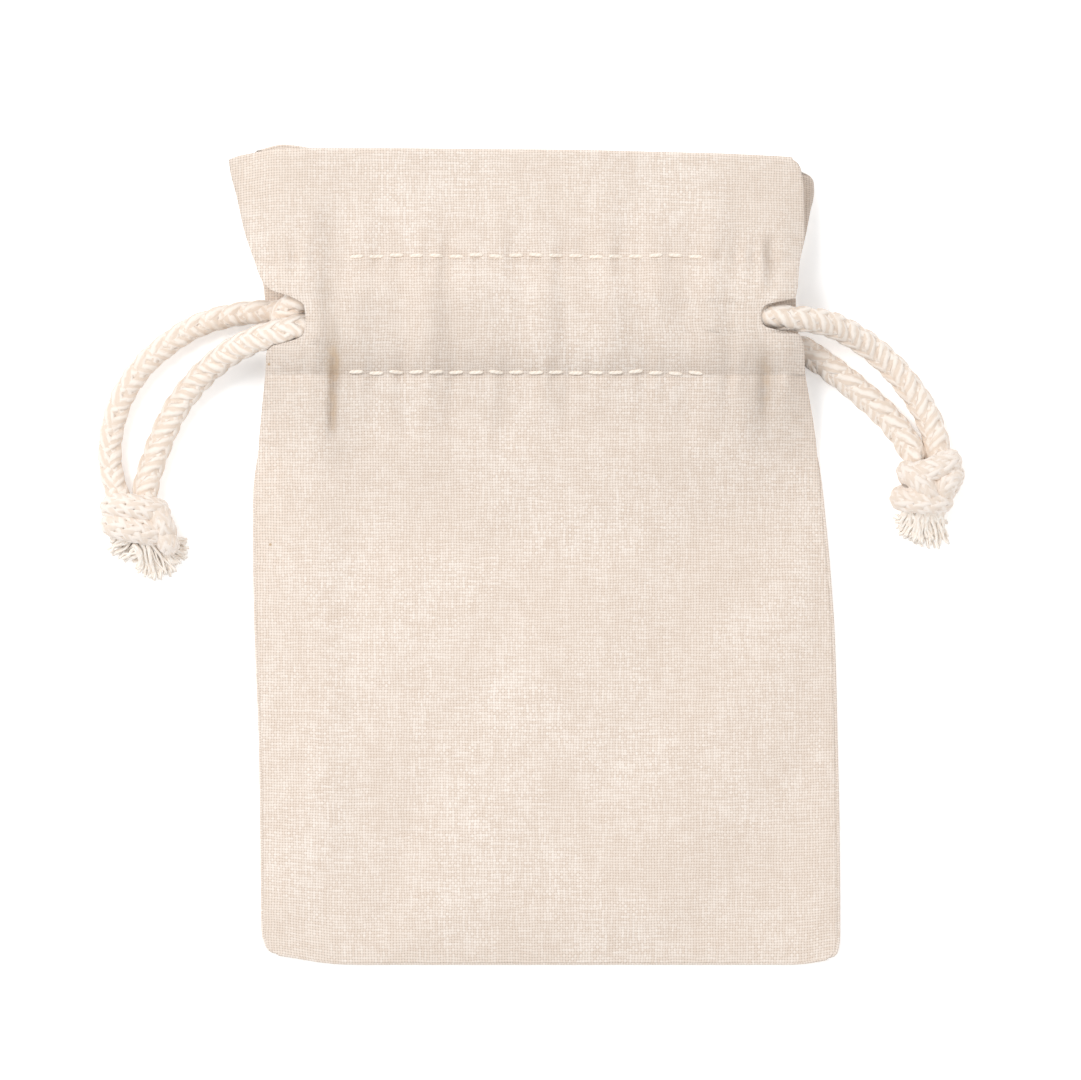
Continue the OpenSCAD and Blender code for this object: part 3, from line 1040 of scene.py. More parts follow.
RIGHT_CORD = Drawstring(
    Side.RIGHT,
    front_tail=((38, 40.8, FRONT_Z), (39, 40.8, FRONT_Z), (41, 40.7, 13.2), (43, 40.5, 12.7),
        (45.5, 40.4, 11.5), (48, 40.1, 9.9), (50.6, 39.5, 8), (53, 38.5, 6), (55.6, 37.1, 4.3),
        (58, 35.4, 3.1), (60.5, 33.2, 2.5), (62.9, 30.6, 2.4), (65, 27.8, 2.4), (66.9, 24.7, 2.5),
        (68.2, 21.6, 2.8), (68.9, 18.6, 3.3), (69, 15.6, 3.8)),
    front_run=((38, 40.8, FRONT_Z), (37, 40.8, FRONT_Z), (33.5, 41.3, FRONT_Z), (28, 42.9, FRONT_Z),
        (22, 44.4, FRONT_Z), (16, 44.6, FRONT_Z), (4, 44.6, FRONT_Z), (-10, 44.6, FRONT_Z),
        (-24, 44.5, 12.9), (-31, 44.3, 12.5), (-38, 44.0, 12.1)),
    back_run=((45.2, 35.4, BACK_Z), (44, 35.4, BACK_Z), (36, 35.7, BACK_Z), (24, 36, BACK_Z),
        (8, 36, BACK_Z), (-8, 36, BACK_Z), (-24, 36, BACK_Z), (-38, 36, BACK_Z)),
    back_tail=((45.2, 35.4, BACK_Z), (45.8, 35.4, BACK_Z), (47, 34.8, 2.9), (48.2, 33.9, 2.7),
        (49.8, 32.8, 2.5), (51.4, 31.6, 2.4), (53, 30.4, 2.4), (54.6, 29.1, 2.4), (56.2, 27.7, 2.4),
        (57.6, 26.5, 2.4), (59, 25.2, 2.4), (60.3, 23.9, 2.5), (61.5, 22.6, 2.6), (62.5, 21.3, 2.8),
        (63.4, 20.1, 3), (64, 19, 3.3), (65.6, 16.4, 3.8)),
    turn_swell=0.6,
)


# ---------------------------------------------------------------- knots and tassels


@dataclass(frozen=True)
class Wrap:
    """One turn of cord round the tails in a knot."""

    middle: Point
    across: float
    up: float
    turn: float
    lean: float = 0.0
    thickness: float = 4.4
    steps: int = 24

    def route(self) -> Route:
        """The closed line of the turn: an ellipse, turned about Z and leant over.

        Returns:
            The line.
        """
        turn, lean = math.radians(self.turn), math.radians(self.lean)
        points = []
        for k in range(self.steps + 1):
            angle = 2 * math.pi * k / self.steps - math.pi / 2
            a, b = self.across * math.cos(angle), self.up * math.sin(angle)
            shift = b * math.sin(lean)
            points.append((self.middle[0] + a * math.cos(turn) - shift * math.sin(turn),
                self.middle[1] + a * math.sin(turn) + shift * math.cos(turn),
                self.middle[2] + b * math.cos(lean)))
        return Route(points)


@dataclass(frozen=True)
class Tassel:
    """The frayed ends of the cord below the knot."""

    root: Point
    heading: float
    spread: float
    length: float
    count: int
    seed: int
    root_width: float = 3.2
    yarn: float = 0.40

    def mesh(self, name: str) -> bpy.types.Mesh:
        """Grows the yarns from the knot, fanned out and drooping to the ground.

        Args:
            name: The name of the mesh.

        Returns:
            The mesh of all the yarns.
        """
        rng = np.random.default_rng(self.seed)
        fan = rng.uniform(-1, 1, self.count)
        layer = rng.uniform(0, 1, self.count)
        reach = self.length * rng.uniform(0.72, 1.0, self.count) * (1 - 0.18 * fan**2)
        curl = rng.normal(0, 0.55, self.count)
        wave = rng.uniform(0, 2 * math.pi, self.count)
        radius = self.yarn * rng.uniform(0.6, 1.05, self.count)
        heading = math.radians(self.heading)
        along = np.array([math.cos(heading), math.sin(heading), 0.0])
        beside = np.array([-along[1], along[0], 0.0])

        def line(t: Array, i: Array) -> Array:
            """The middle line of a yarn.

            Args:
                t: Shares along the yarn.
                i: The number of the yarn.

            Returns:
                The points, in millimetres.
            """
            angle = np.radians(self.spread) * fan[i] * (0.35 + 0.65 * t) + curl[i] * 0.25 * t
            out = reach[i] * t
            wobble = 0.22 * np.sin(8 * t + wave[i])
            sideways = self.root_width * fan[i] * (1 - t) + out * np.sin(angle) + wobble
            forward = out * np.cos(angle)
            low = 0.35 + 1.5 * layer[i]
            top = self.root[2] - 1.6 + 3.6 * layer[i]
            drooping = 1 - smooth(t * 1.15)
            height = low + (top - low) * drooping + 0.5 * layer[i] * np.sin(3 * t)
            flat = np.array(self.root) * (1.0, 1.0, 0.0)
            up = np.array([0.0, 0.0, 1.0])
            return flat + along * forward[:, None] + beside * sideways[:, None] + height[:, None] * up

        def place(share: Array, t: Array, i: Array) -> tuple[Array, Array, Array]:
            """Places the points of each yarn.

            Args:
                share: Shares round the yarn.
                t: Shares along it.
                i: The number of the yarn.

            Returns:
                The points, the length along the yarn and the depth.
            """
            middle = line(t, i)
            ahead = unit(line(t + 0.02, i) - line(t - 0.02, i))
            first = unit(np.cross(ahead, (0.0, 0.0, 1.0)))
            second = np.cross(first, ahead)
            turn = 2 * math.pi * share
            size = (radius[i] * (1.05 - 0.35 * t))[:, None]
            points = middle + first * size * np.cos(turn)[:, None] + second * size * np.sin(turn)[:, None]
            # Painted shade: the lower yarns and the parts near the knot are darker, under the yarns above
            # them.
            depth = (1 - layer[i]) * (0.6 - 0.5 * t)
            return points, reach[i] * t, depth

        return tube_mesh(name, self.count, 6, 12, place)


@dataclass
class CordEnd:
    """The knot that joins the two tails of a cord, and the tassel below it."""

    side: Side
    wraps: tuple[Wrap, ...]
    tassels: tuple[Tassel, ...]

    def make(self, finishes: Finishes) -> list[bpy.types.Object]:
        """Builds the knot and the tassel, which swing with the tails.

        Args:
            finishes: The sack's materials.

        Returns:
            The knot and the tassel.
        """
        knot = self.join(f"{self.side.value}_knot", [self.wrap_mesh(w) for w in self.wraps], finishes.knot)
        strands = [t.mesh("yarns") for t in self.tassels]
        tassel = self.join(f"{self.side.value}_tassel", strands, finishes.tassel)
        return [knot, tassel]

    @staticmethod
    def wrap_mesh(wrap: Wrap) -> bpy.types.Mesh:
        """Plaits one turn of the knot.

        Args:
            wrap: The turn.

        Returns:
            Its mesh.
        """
        route = wrap.route()
        laps = max(1, round(route.length / 20))
        braid = Braid(diameter=wrap.thickness, lay=route.length / laps, strand_width=0.66,
            strand_height=0.40, rise=0.09, strands=16)
        return braid.mesh("wrap", route, 0.0, route.length, 0.5)

    def join(self, node: str, meshes: list[bpy.types.Mesh], finish: bpy.types.Material) -> bpy.types.Object:
        """Puts several meshes in one piece that stands for a CAD node and rides with the tails.

        Args:
            node: The node's name.
            meshes: The meshes.
            finish: The material of the piece.

        Returns:
            The piece.
        """
        bm = bmesh.new()
        for mesh in meshes:
            bm.from_mesh(mesh)
        whole = bpy.data.meshes.new(node)
        bm.to_mesh(whole)
        bm.free()
        piece = add_object(f"{node}_yarns", whole, finish)
        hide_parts(node)
        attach(piece, f"{self.side.value}_tails")
        return report(piece)


LEFT_END = CordEnd(
    Side.LEFT,
    wraps=(Wrap((-68.8, 7.8, 4.2), 3.8, 2.3, -6, 8, 4.9), Wrap((-69.0, 4.7, 4.1), 3.6, 2.2, -12, -4, 4.9),
        Wrap((-65.0, 6.0, 4.0), 2.4, 2.0, -60, 12, 4.4), Wrap((-63.8, 3.2, 3.6), 1.5, 1.6, -64, 0, 4.0)),
    tassels=(Tassel((-66.6, 3.4, 3.6), -60, 50, 8.0, 150, 5),
        Tassel((-69.0, 2.8, 2.6), -146, 30, 5.2, 26, 6)),
)

RIGHT_END = CordEnd(
    Side.RIGHT,
    wraps=(Wrap((68.2, 15.2, 4.2), 3.0, 2.2, 20, -8, 4.5), Wrap((70.6, 12.2, 3.9), 2.0, 2.0, 58, 10, 4.2),
        Wrap((66.0, 12.2, 4.3), 3.0, 2.2, -46, 6, 4.4), Wrap((66.2, 9.6, 3.9), 3.4, 2.1, -4, -10, 4.5)),
    tassels=(Tassel((66.2, 8.4, 3.4), -92, 60, 6.6, 150, 8), Tassel((67.2, 8.0, 2.6), -82, 18, 7.8, 26, 9)),
)


# ---------------------------------------------------------------- cloth


# Folds beside the cord slots; their depth shapes the cloth and, halved, also sets painted shade in them.
CREASES = (
    Fold(1.0, -34.6, 0.8, 23, 31, 5, lean=0.04, pivot=27),
    Fold(0.45, -35.4, 1.3, 33, 44, 6),
    Fold(0.45, -34.0, 3.4, 18, 33, 7),
    Fold(0.45, -36.4, 1.8, 47, 56, 7),
    Fold(0.8, 39.8, 1.0, 48, 52, 4),
    Fold(0.8, 39.2, 1.0, 27, 31, 5),
    Fold(0.5, 38.4, 2.6, 22, 33, 7),
)
CHANNEL_FOLDS = tuple(
    Fold(depth, place, width, low, high, 10, lean=-0.03, pivot=40)
    for place, depth, width, low, high in (
        (-29.0, 0.55, 2.6, 24, 46), (-22.6, 0.6, 1.9, 26, 44), (-14.6, 0.5, 2.2, 27, 46),
        (-6.2, 0.65, 1.9, 24, 43), (4.8, 0.5, 1.7, 28, 46), (11.6, 0.5, 2.0, 27, 44),
        (18.4, 0.4, 1.8, 28, 46), (25.0, 0.6, 2.2, 25, 44), (32.4, 0.4, 1.8, 28, 46))
)
CORNER_FOLD = Fold(0.5, -23.5, 4.0, -60, -42, 9, lean=0.28, pivot=-54)
# Painted shade only: these darken the cloth's colour down the left of the body, beside the left slot and in
# bands over the channel, and leave its shape alone.
LEFT_SHADE = Fold(0.09, -34, 3.0, -48, 4, 12)
CREASE_SHADE_TRAIL = Fold(0.3, -34.3, 0.9, 33, 38, 4)
SHADE_BANDS = ((1.0, -28, 4.5), (0.9, -13, 5.5), (0.5, 2, 3.0), (0.8, 16, 5.0), (0.6, 29, 4.0))


@dataclass(frozen=True)
class SackForm:
    """How the cloth of the sack lies, in millimetres, with the places of its bottom, vent, stitch rows and
    mouth, and the height of its hem, taken from the frame.
    """

    bottom: float
    vent: float
    lower: float
    upper: float
    mouth: float
    hem_top: float
    middle: float = 1.0
    thickness: float = 0.36
    sack_left: Outline = Outline(((-70.5, -44.6), (-69, -46.1), (-66, -46.9), (-50, -47.1), (-35, -47.3),
        (-5, -48.3), (9, -48.4), (20, -47.6), (31.2, -46.3)))
    sack_right: Outline = Outline(((-70.5, 50.2), (-69, 51.6), (-66, 52.0), (-50, 51.9), (-30, 51.5),
        (-15, 51.1), (-4, 50.4), (9, 49.2), (20, 48.1), (31.2, 46.1)))
    front_left: Outline = Outline(((31.2, -46.3), (34.6, -46.0), (35.8, -44.8), (36.6, -41.4), (37.6, -39.6),
        (40.5, -39.2), (42.6, -39.5), (44.0, -41.6), (45.4, -45.4), (47, -46.8), (50, -48.0), (56, -49.9),
        (63, -51.3), (68, -52.4), (70.5, -52.7)))
    front_right: Outline = Outline(((31.2, 46.1), (36.4, 45.6), (37.8, 44.9), (38.5, 40.4), (39.2, 38.7),
        (41, 38.3), (42.4, 38.8), (43.1, 40.4), (43.7, 44.2), (50, 45.1), (56, 46.0), (64, 45.9),
        (68.6, 45.4), (69.8, 44.8), (70.5, 43.9)))
    back_left: Outline = Outline(((31.2, -46.3), (40, -46.5), (46, -46.9), (51, -48.4), (58, -49.9),
        (65, -51.2), (69, -50.4), (70.5, -48.4)))
    back_right: Outline = Outline(((31.2, 46.1), (36, 45.5), (41, 44.9), (46, 44.7), (51, 45.5),
        (57, 46.5), (62, 47.2), (67, 47.9), (69.6, 47.8), (70.5, 47.3)))
    hem_left: Outline = Outline(((31.2, -37.2), (46.5, -37.2), (52, -46.5), (63, -50), (70.5, -47)))
    hem_right: Outline = Outline(((31.2, 29.2), (46.5, 29.2), (52, 43.6), (63, 45.2), (70.5, 43)))
    front_mouth: Outline = Outline(((-52.5, 67.8), (-49, 68.5), (-44, 69.2), (-38, 69.3), (0, 69.0),
        (30, 68.4), (46, 67.8)))
    back_mouth: Outline = Outline(((-51, 68.6), (-47.5, 69.4), (-43.5, 70.3), (-37.5, 69.5), (-30, 68.5),
        (20, 67.2), (43, 66.2), (48, 65.0)))
    crown: Outline = Outline(((-70.5, 1.1), (-67.5, 2.3), (-60, 4.1), (-45, 5.4), (-20, 6.2), (0, 7.0),
        (10, 9.0), (20, 12.0), (31.2, 14.8), (40, 14.7), (50.2, 13.9), (56, 12.9), (63, 11.0), (70.5, 9.4)))
    side: Outline = Outline(((-70.5, 1.1), (5, 1.1), (16, 1.5), (22, 3.6), (31.2, 8.5), (36, 10.6),
        (45, 11.2), (50.2, 9.4), (57, 7.6), (64, 6.8), (70.5, 6.0)))
    slow: SoftFolds = SoftFolds(4, 7, (26.0, 62.0), 0.35)
    quick: SoftFolds = SoftFolds(9, 9, (7.0, 15.0), 0.45)
    gathers: SoftFolds = SoftFolds(21, 8, (5.5, 12.0), 0.06)
    puckers: SoftFolds = SoftFolds(33, 8, (2.6, 5.2), 0.05)
    ruffle: SoftFolds = SoftFolds(15, 6, (16.0, 34.0), 0.12)
    stitch_pitch: float = 3.4
    channel_rise: float = 3.0
    channel_power: float = 3.2
    neck_reach: tuple[float, float] = (-46.0, 45.2)

    @staticmethod
    def from_frame() -> "SackForm":
        """Reads the form's sizes from the frame's nodes.

        Returns:
            The form of this sack.
        """
        seam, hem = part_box("left_side_seam"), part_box("front_hem")
        lower, upper = (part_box(f"front_{row.value}_stitches") for row in Row)
        fold_radius = 0.4
        return SackForm(bottom=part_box("bottom_fold")[0][1] / MM + fold_radius, vent=seam[1][1] / MM,
            lower=(lower[0][1] + lower[1][1]) / 2 / MM, upper=(upper[0][1] + upper[1][1]) / 2 / MM,
            mouth=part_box("back_neck")[1][1] / MM, hem_top=hem[1][2] / MM)

    def channel(self, y: Array) -> Array:
        """The rise of the cloth over the cords between the two stitch rows, from 0 to 1."""
        t = np.abs(2 * y - self.lower - self.upper) / (self.upper - self.lower)
        return np.where(t < 1, 1 - np.minimum(t, 1) ** self.channel_power, 0.0)

    def creases(self, x: Array, y: Array) -> Array:
        """The depth of the sharp folds beside both cord slots."""
        return sum(fold.at(x, y) for fold in CREASES)

    def shaded(self, x: Array, y: Array) -> Array:
        """How much painted shade darkens the front cloth: between the folds of the channel, over the neck,
        near the lower row, down the left of the body and beside the left slot.

        Args:
            x: Places across the sack.
            y: Places along the sack.

        Returns:
            The amount of painted shade.
        """
        bands = sum(share * bell(x, place, width) for share, place, width in SHADE_BANDS)
        below = 0.10 * window(y, 27, 30, 9) + LEFT_SHADE.at(x, y)
        neck = 0.17 * bands * window(y, 33, 40, 8) + 0.13 * smooth((y - 26) / 8)
        return neck + below + CREASE_SHADE_TRAIL.at(x, y)

    def folds(self, x: Array, y: Array) -> Array:
        """All the gentle unevenness of the front cloth.

        Args:
            x: Places across the sack.
            y: Places along the sack.

        Returns:
            Its height, in millimetres.
        """
        near_neck = window(y, 33, 50, 18)
        total = 0.42 * self.slow.at(x, y) * window(y, -62, 70, 8) + 0.07 * self.quick.at(x, y)
        total = total + 0.34 * self.gathers.at(x, y) * near_neck
        for fold in (*CHANNEL_FOLDS, CORNER_FOLD):
            total = total - fold.at(x, y)
        return total + 0.35 * self.ruffle.at(x, y) * smooth((y - self.upper) / 14)

    def stitched(self, x: Array, y: Array) -> Array:
        """The dent and the small puckers that the two rows of stitches pull into the cloth.

        Args:
            x: Places across the sack.
            y: Places along the sack.

        Returns:
            The height that they add, in millimetres.
        """
        total = np.zeros(np.broadcast(x, y).shape)
        for row in (self.lower, self.upper):
            beat = np.cos(2 * math.pi * x / self.stitch_pitch)
            total -= (0.26 + 0.10 * beat) * bell(y, row, 0.9)
            total += 0.16 * self.puckers.at(x, y) * bell(y, row, 3.6)
        return total

    def share(self, x: Array, left: Array, right: Array) -> Array:
        """How far x lies from the middle towards its edge, from -1 to 1."""
        return np.where(x < self.middle, (x - self.middle) / (self.middle - left),
            (x - self.middle) / (right - self.middle))

    def front_height(self, x: Array, y: Array) -> Array:
        """The height of the front cloth's outer surface.

        Args:
            x: Places across the sack.
            y: Places along the sack, before the mouth edge is trimmed.

        Returns:
            The height of the outer surface above the ground.
        """
        body_left, body_right = self.sack_left.at(y), self.sack_right.at(y)
        least_left, least_right = self.neck_reach
        wide_left = np.where(y > self.lower, np.minimum(self.back_left.at(y), least_left), body_left)
        wide_right = np.where(y > self.lower, np.maximum(self.back_right.at(y), least_right), body_right)
        u = np.abs(self.share(x, wide_left, wide_right))
        power = 2.6 + 3.2 * smooth((y - 5) / 26)
        side, crown = self.side.at(y), self.crown.at(y)
        height = side + (crown - side) * (1 - np.minimum(u, 1.0) ** power)
        height = height + self.channel_rise * self.channel(y) * (1 - 0.4 * smooth((np.abs(x) - 40) / 8))
        calm = 1 - smooth((u - 0.86) / 0.14) * (y < self.vent)
        low = smooth((y - self.bottom) / 6)
        return height + (self.folds(x, y) * low - self.creases(x, y)) * calm + self.stitched(x, y)

    def back_height(self, x: Array, y: Array) -> Array:
        """The height of the back cloth's outer surface, which lies on the ground.

        Args:
            x: Places across the sack.
            y: Places along the sack.

        Returns:
            The height of the outer surface above the ground.
        """
        u = np.abs(self.share(x, self.sack_left.at(y), self.sack_right.at(y)))
        seam = 0.20 * np.minimum(u, 1.0) ** 10 * smooth((self.vent + 4 - y) / 4)
        bottom = 0.20 * smooth((self.bottom + 3 - y) / 3)
        slow = 0.09 * (1 + np.tanh(self.slow.at(x + 40, y)))
        gathered = 0.06 * (1 + np.tanh(self.gathers.at(x, y))) * window(y, 28, 52, 12)
        wave = 0.5 * (1 + np.tanh(self.ruffle.at(x + 90, y))) * smooth((y - self.upper) / 12)
        calm = smooth((y - self.bottom) / 5) * (1 - smooth((u - 0.8) / 0.2))
        return 0.12 + np.maximum(seam, bottom) + (slow + gathered) * calm + wave

    def trimmed(self, x: Array, y: Array, edge: Outline) -> Array:
        """Moves the ruffle's places along the sack so that it ends at the mouth edge.

        Args:
            x: Places across the sack.
            y: Places along the sack.
            edge: The mouth edge, as stations of (x, y).

        Returns:
            The trimmed places.
        """
        top = edge.at(x)
        scale = (top - self.upper) / (self.mouth - self.upper)
        return np.where(y > self.upper, self.upper + (y - self.upper) * scale, y)

    def bottom_lift(self, x: Array, y: Array) -> Array:
        """How far the bottom fold is drawn up towards its corners."""
        corner = 1.7 * smooth((-30 - x) / 17) ** 1.5 + 0.9 * smooth((x - 43) / 9) ** 1.5
        return corner * np.exp(-(y - self.bottom) / 14)


@dataclass
class ClothPiece:
    """One cut of cloth: half of the body or half of the neck with its turned-in hem."""

    form: SackForm
    face: Face
    side: Side
    panel: Panel
    cell: float = 0.5
    fold_gap: float = 0.9
    lap: float = 1.0
    half: float = 48.0
    tuck: float = 0.12
    flap_drop: float = 5.0
    cord_room: float = 4.9
    weave_scale: float = 0.97
    weave_shift: float = 2.2

    @property
    def name(self) -> str:
        """The name of the piece."""
        return f"{self.face.value}_{self.panel.value}_{self.side.value}"

    def across(self, share: Array, left: Array, right: Array) -> Array:
        """The x of each share, 0 at the middle line and 1 at this side's edge."""
        edge = left if self.side is Side.LEFT else right
        return self.form.middle + (edge - self.form.middle) * share

    def body_surface(self, across: Array, along: Array) -> Array:
        """Places on the body cloth's outer surface.

        Args:
            across: Shares across, 0 at the middle and 1 at the side.
            along: Places from the bottom fold up.

        Returns:
            The points, in millimetres.
        """
        f = self.form
        x = self.across(across, f.sack_left.at(along), f.sack_right.at(along))
        height = f.front_height(x, along) if self.face is Face.FRONT else f.back_height(x, along)
        return np.stack([x, along + f.bottom_lift(x, along), height], axis=-1)

    def neck_surface(self, across: Array, along: Array) -> Array:
        """Places on the neck: up the outside, round the mouth fold and down the inside.

        Args:
            across: Shares across, 0 at the middle and 1 at the side.
            along: Distances from the lower stitch row, over the fold and back to it.

        Returns:
            The points, in millimetres.
        """
        f = self.form
        outside = f.mouth - f.lower
        turn = math.pi * self.fold_gap / 2
        inner = along - outside - turn
        y = f.lower + np.where(along < outside, along, np.clip(outside - inner, 0, outside))
        bend = np.clip((along - outside) / turn, 0, 1)
        inside = smooth(bend)
        front = self.face is Face.FRONT
        left, right = (f.front_left, f.front_right) if front else (f.back_left, f.back_right)
        edge_left = left.at(y) + (np.maximum(f.hem_left.at(y), left.at(y)) - left.at(y)) * inside
        edge_right = right.at(y) + (np.minimum(f.hem_right.at(y), right.at(y)) - right.at(y)) * inside
        x = self.across(across, edge_left, edge_right)
        mouth = f.front_mouth if front else f.back_mouth
        place = f.trimmed(x, y, mouth) + 0.5 * self.fold_gap * np.sin(math.pi * bend)
        if front:
            outer = f.front_height(x, y)
            hem = np.minimum(outer - self.fold_gap, f.hem_top - 0.5 + 0.12 * f.gathers.at(x, y))
        else:
            outer = f.back_height(x, y)
            hem = outer + self.fold_gap + f.channel(y) * self.cord_room
        turned = 0.5 - 0.5 * np.cos(math.pi * bend)
        near = outer + (self.fold_gap if not front else -self.fold_gap) * turned
        settle = smooth(inner / 4)
        height = np.where(bend < 1, near, near + (hem - near) * settle)
        return np.stack([x, place, height], axis=-1)

    def rows(self) -> Array:
        """The places along the cloth of each row of the grid.

        Returns:
            The places, in millimetres.
        """
        f = self.form
        if self.panel is Panel.BODY:
            seen = np.linspace(f.bottom, f.lower, int((f.lower - f.bottom) / self.cell) + 1)
            return np.concatenate([seen, [f.lower + 0.5 * self.lap, f.lower + self.lap]])
        outside, turn = f.mouth - f.lower, math.pi * self.fold_gap / 2
        seen = np.linspace(0, outside, int(outside / self.cell) + 1)
        fold = np.linspace(outside, outside + turn, 9)[1:]
        coarser = int(outside / self.cell / 1.3) + 1
        hidden = np.linspace(outside + turn, 2 * outside + turn, coarser)[1:]
        return np.concatenate([[-self.lap, -0.5 * self.lap], seen, fold, hidden])

    def make(self, material: bpy.types.Material) -> bpy.types.Object:
        """Builds the cloth with its thickness and its weave coordinates.

        Args:
            material: The cloth's finish.

        Returns:
            The finished piece.
        """
        f, rows = self.form, self.rows()
        left = self.side is Side.LEFT
        columns = round((self.half + self.lap) / self.cell)
        mesh, grid = grid_mesh(self.name, columns, len(rows) - 1, True)
        share = 1 - (grid[:, 0] if left else 1 - grid[:, 0]) * (1 + self.lap / self.half)
        along = np.interp(grid[:, 1], np.linspace(0, 1, len(rows)), rows)
        surface = self.body_surface if self.panel is Panel.BODY else self.neck_surface
        points = surface(share, along)
        step = 0.02
        aside = step / self.half
        ahead = surface(share + aside, along) - surface(share - aside, along)
        above, below = np.minimum(along + step, rows[-1]), np.maximum(along - step, rows[0])
        normal = unit(np.cross(ahead, surface(share, above) - surface(share, below)))
        if left != (self.face is Face.BACK):
            normal = -normal
        layer = grid[:, 2:3]
        under = self.tuck * smooth(-share * self.half / (0.5 * self.lap))
        past_seam = along - f.lower if self.panel is Panel.BODY else -along
        under = np.maximum(under, self.tuck * smooth(past_seam / (0.5 * self.lap)))
        placed = points - normal * (f.thickness * layer + under[:, None])
        if self.panel is Panel.BODY:
            placed[:, 1] += self.flap_drop * under * smooth(1 - (along - f.bottom) / (2 * self.cell))
        put_points(mesh, placed)
        weave_x = points[:, 0] * self.weave_scale + self.weave_shift * share * self.side.sign
        put_uv(mesh, np.stack([weave_x, along], axis=1) * MM)
        # Painted shade for the front cloth's creases and gathers, kept to the outside of the neck.
        painted_shade = np.zeros(len(share))
        if self.face is Face.FRONT:
            x, y = points[:, 0], points[:, 1]
            painted_shade = np.clip(f.creases(x, y) / 2 + f.shaded(x, y), 0, 1)
        if self.panel is Panel.NECK:
            painted_shade = painted_shade * (along < f.mouth - f.lower)
        put_attribute(mesh, "PaintedShade", painted_shade)
        self.turn_outwards(mesh)
        sideways = np.array([self.side.sign, 0.0, 0.0])
        rim = (share > 0.9999)[:, None]
        facing = np.where(layer > 0.5, -normal, normal) + rim * sideways
        # Custom normals are stored against the mesh's own, so it has to be smooth before they are set.
        mesh.shade_smooth()
        mesh.normals_split_custom_set_from_vertices(unit(facing).tolist())
        piece = add_object(self.name, mesh, material)
        gather(piece)
        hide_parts(*self.stands_for())
        return report(piece)

    @staticmethod
    def turn_outwards(mesh: bpy.types.Mesh) -> None:
        """Recalculates the faces of a closed slab so that they point outwards.

        Args:
            mesh: The slab.
        """
        bm = bmesh.new()
        bm.from_mesh(mesh)
        bmesh.ops.recalc_face_normals(bm, faces=bm.faces[:])
        bm.to_mesh(mesh)
        bm.free()

    def stands_for(self) -> list[str]:
        """The frame's nodes that this piece replaces.

        Returns:
            Their names.
        """
        if self.panel is Panel.BODY:
            return [f"{self.face.value}_panel"]
        return [f"{self.face.value}_neck", f"{self.face.value}_hem"]


def gather(piece: bpy.types.Object) -> None:
    """Bakes the placement of a cloth piece into its mesh.

    Args:
        piece: The piece of cloth or stitching.
    """
    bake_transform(piece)


# ---------------------------------------------------------------- sewing and edges


@dataclass
class StitchRow:
    """The stitches of one row in one half of one face."""

    form: SackForm
    face: Face
    side: Side
    row: Row
    length: float = 2.65
    radius: float = 0.31
    above_row: float = 0.45
    loft: float = 0.42
    sunk: float = 0.24

    def make(self, finish: bpy.types.Material) -> bpy.types.Object:
        """Sews the row.

        Args:
            finish: The thread's material.

        Returns:
            The stitches.
        """
        f = self.form
        node = f"{self.face.value}_{self.row.value}_stitches"
        y = f.lower if self.row is Row.LOWER else f.upper
        low, high = (corner[0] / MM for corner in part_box(node))
        pitch = f.stitch_pitch
        numbers = [k for k in range(math.ceil(low / pitch), math.floor(high / pitch) + 1)
            if (k * pitch < f.middle) == (self.side is Side.LEFT)]
        places = np.array(numbers) * pitch
        rng = np.random.default_rng(int(abs(y) * 10) + len(numbers) + (self.side is Side.LEFT))
        slant = rng.normal(0, 0.055, len(places))
        drift = rng.normal(0, 0.09, len(places))
        out = 1.0 if self.face is Face.FRONT else -1.0

        def place(share: Array, t: Array, i: Array) -> tuple[Array, Array, Array]:
            """Places the points of each stitch.

            Args:
                share: Shares round the thread.
                t: Shares along it.
                i: The number of the stitch.

            Returns:
                The points, the length along the thread and the depth.
            """
            x = places[i] + (t - 0.5) * self.length
            level = y + self.above_row + drift[i] + (x - places[i]) * slant[i]
            ground = f.front_height(x, level) if self.face is Face.FRONT else f.back_height(x, level)
            body = np.sqrt(np.maximum(1 - np.abs(2 * t - 1) ** 3.2, 0.0))
            height = ground + out * (self.loft * body - self.sunk)
            turn = 2 * math.pi * share
            size = self.radius * np.maximum(body, 0.12)
            across = level + size * 1.1 * np.cos(turn)
            points = np.stack([x, across, height + 0.7 * size * np.sin(turn)], axis=1)
            # Painted shade at both ends of each stitch, where it sinks into the cloth.
            return points, (t + i) * self.length, 0.55 - 0.55 * body

        mesh = tube_mesh(node, len(places), 8, 10, place)
        piece = add_object(f"{node}_{self.side.value}", mesh, finish)
        gather(piece)
        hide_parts(node)
        return report(piece)


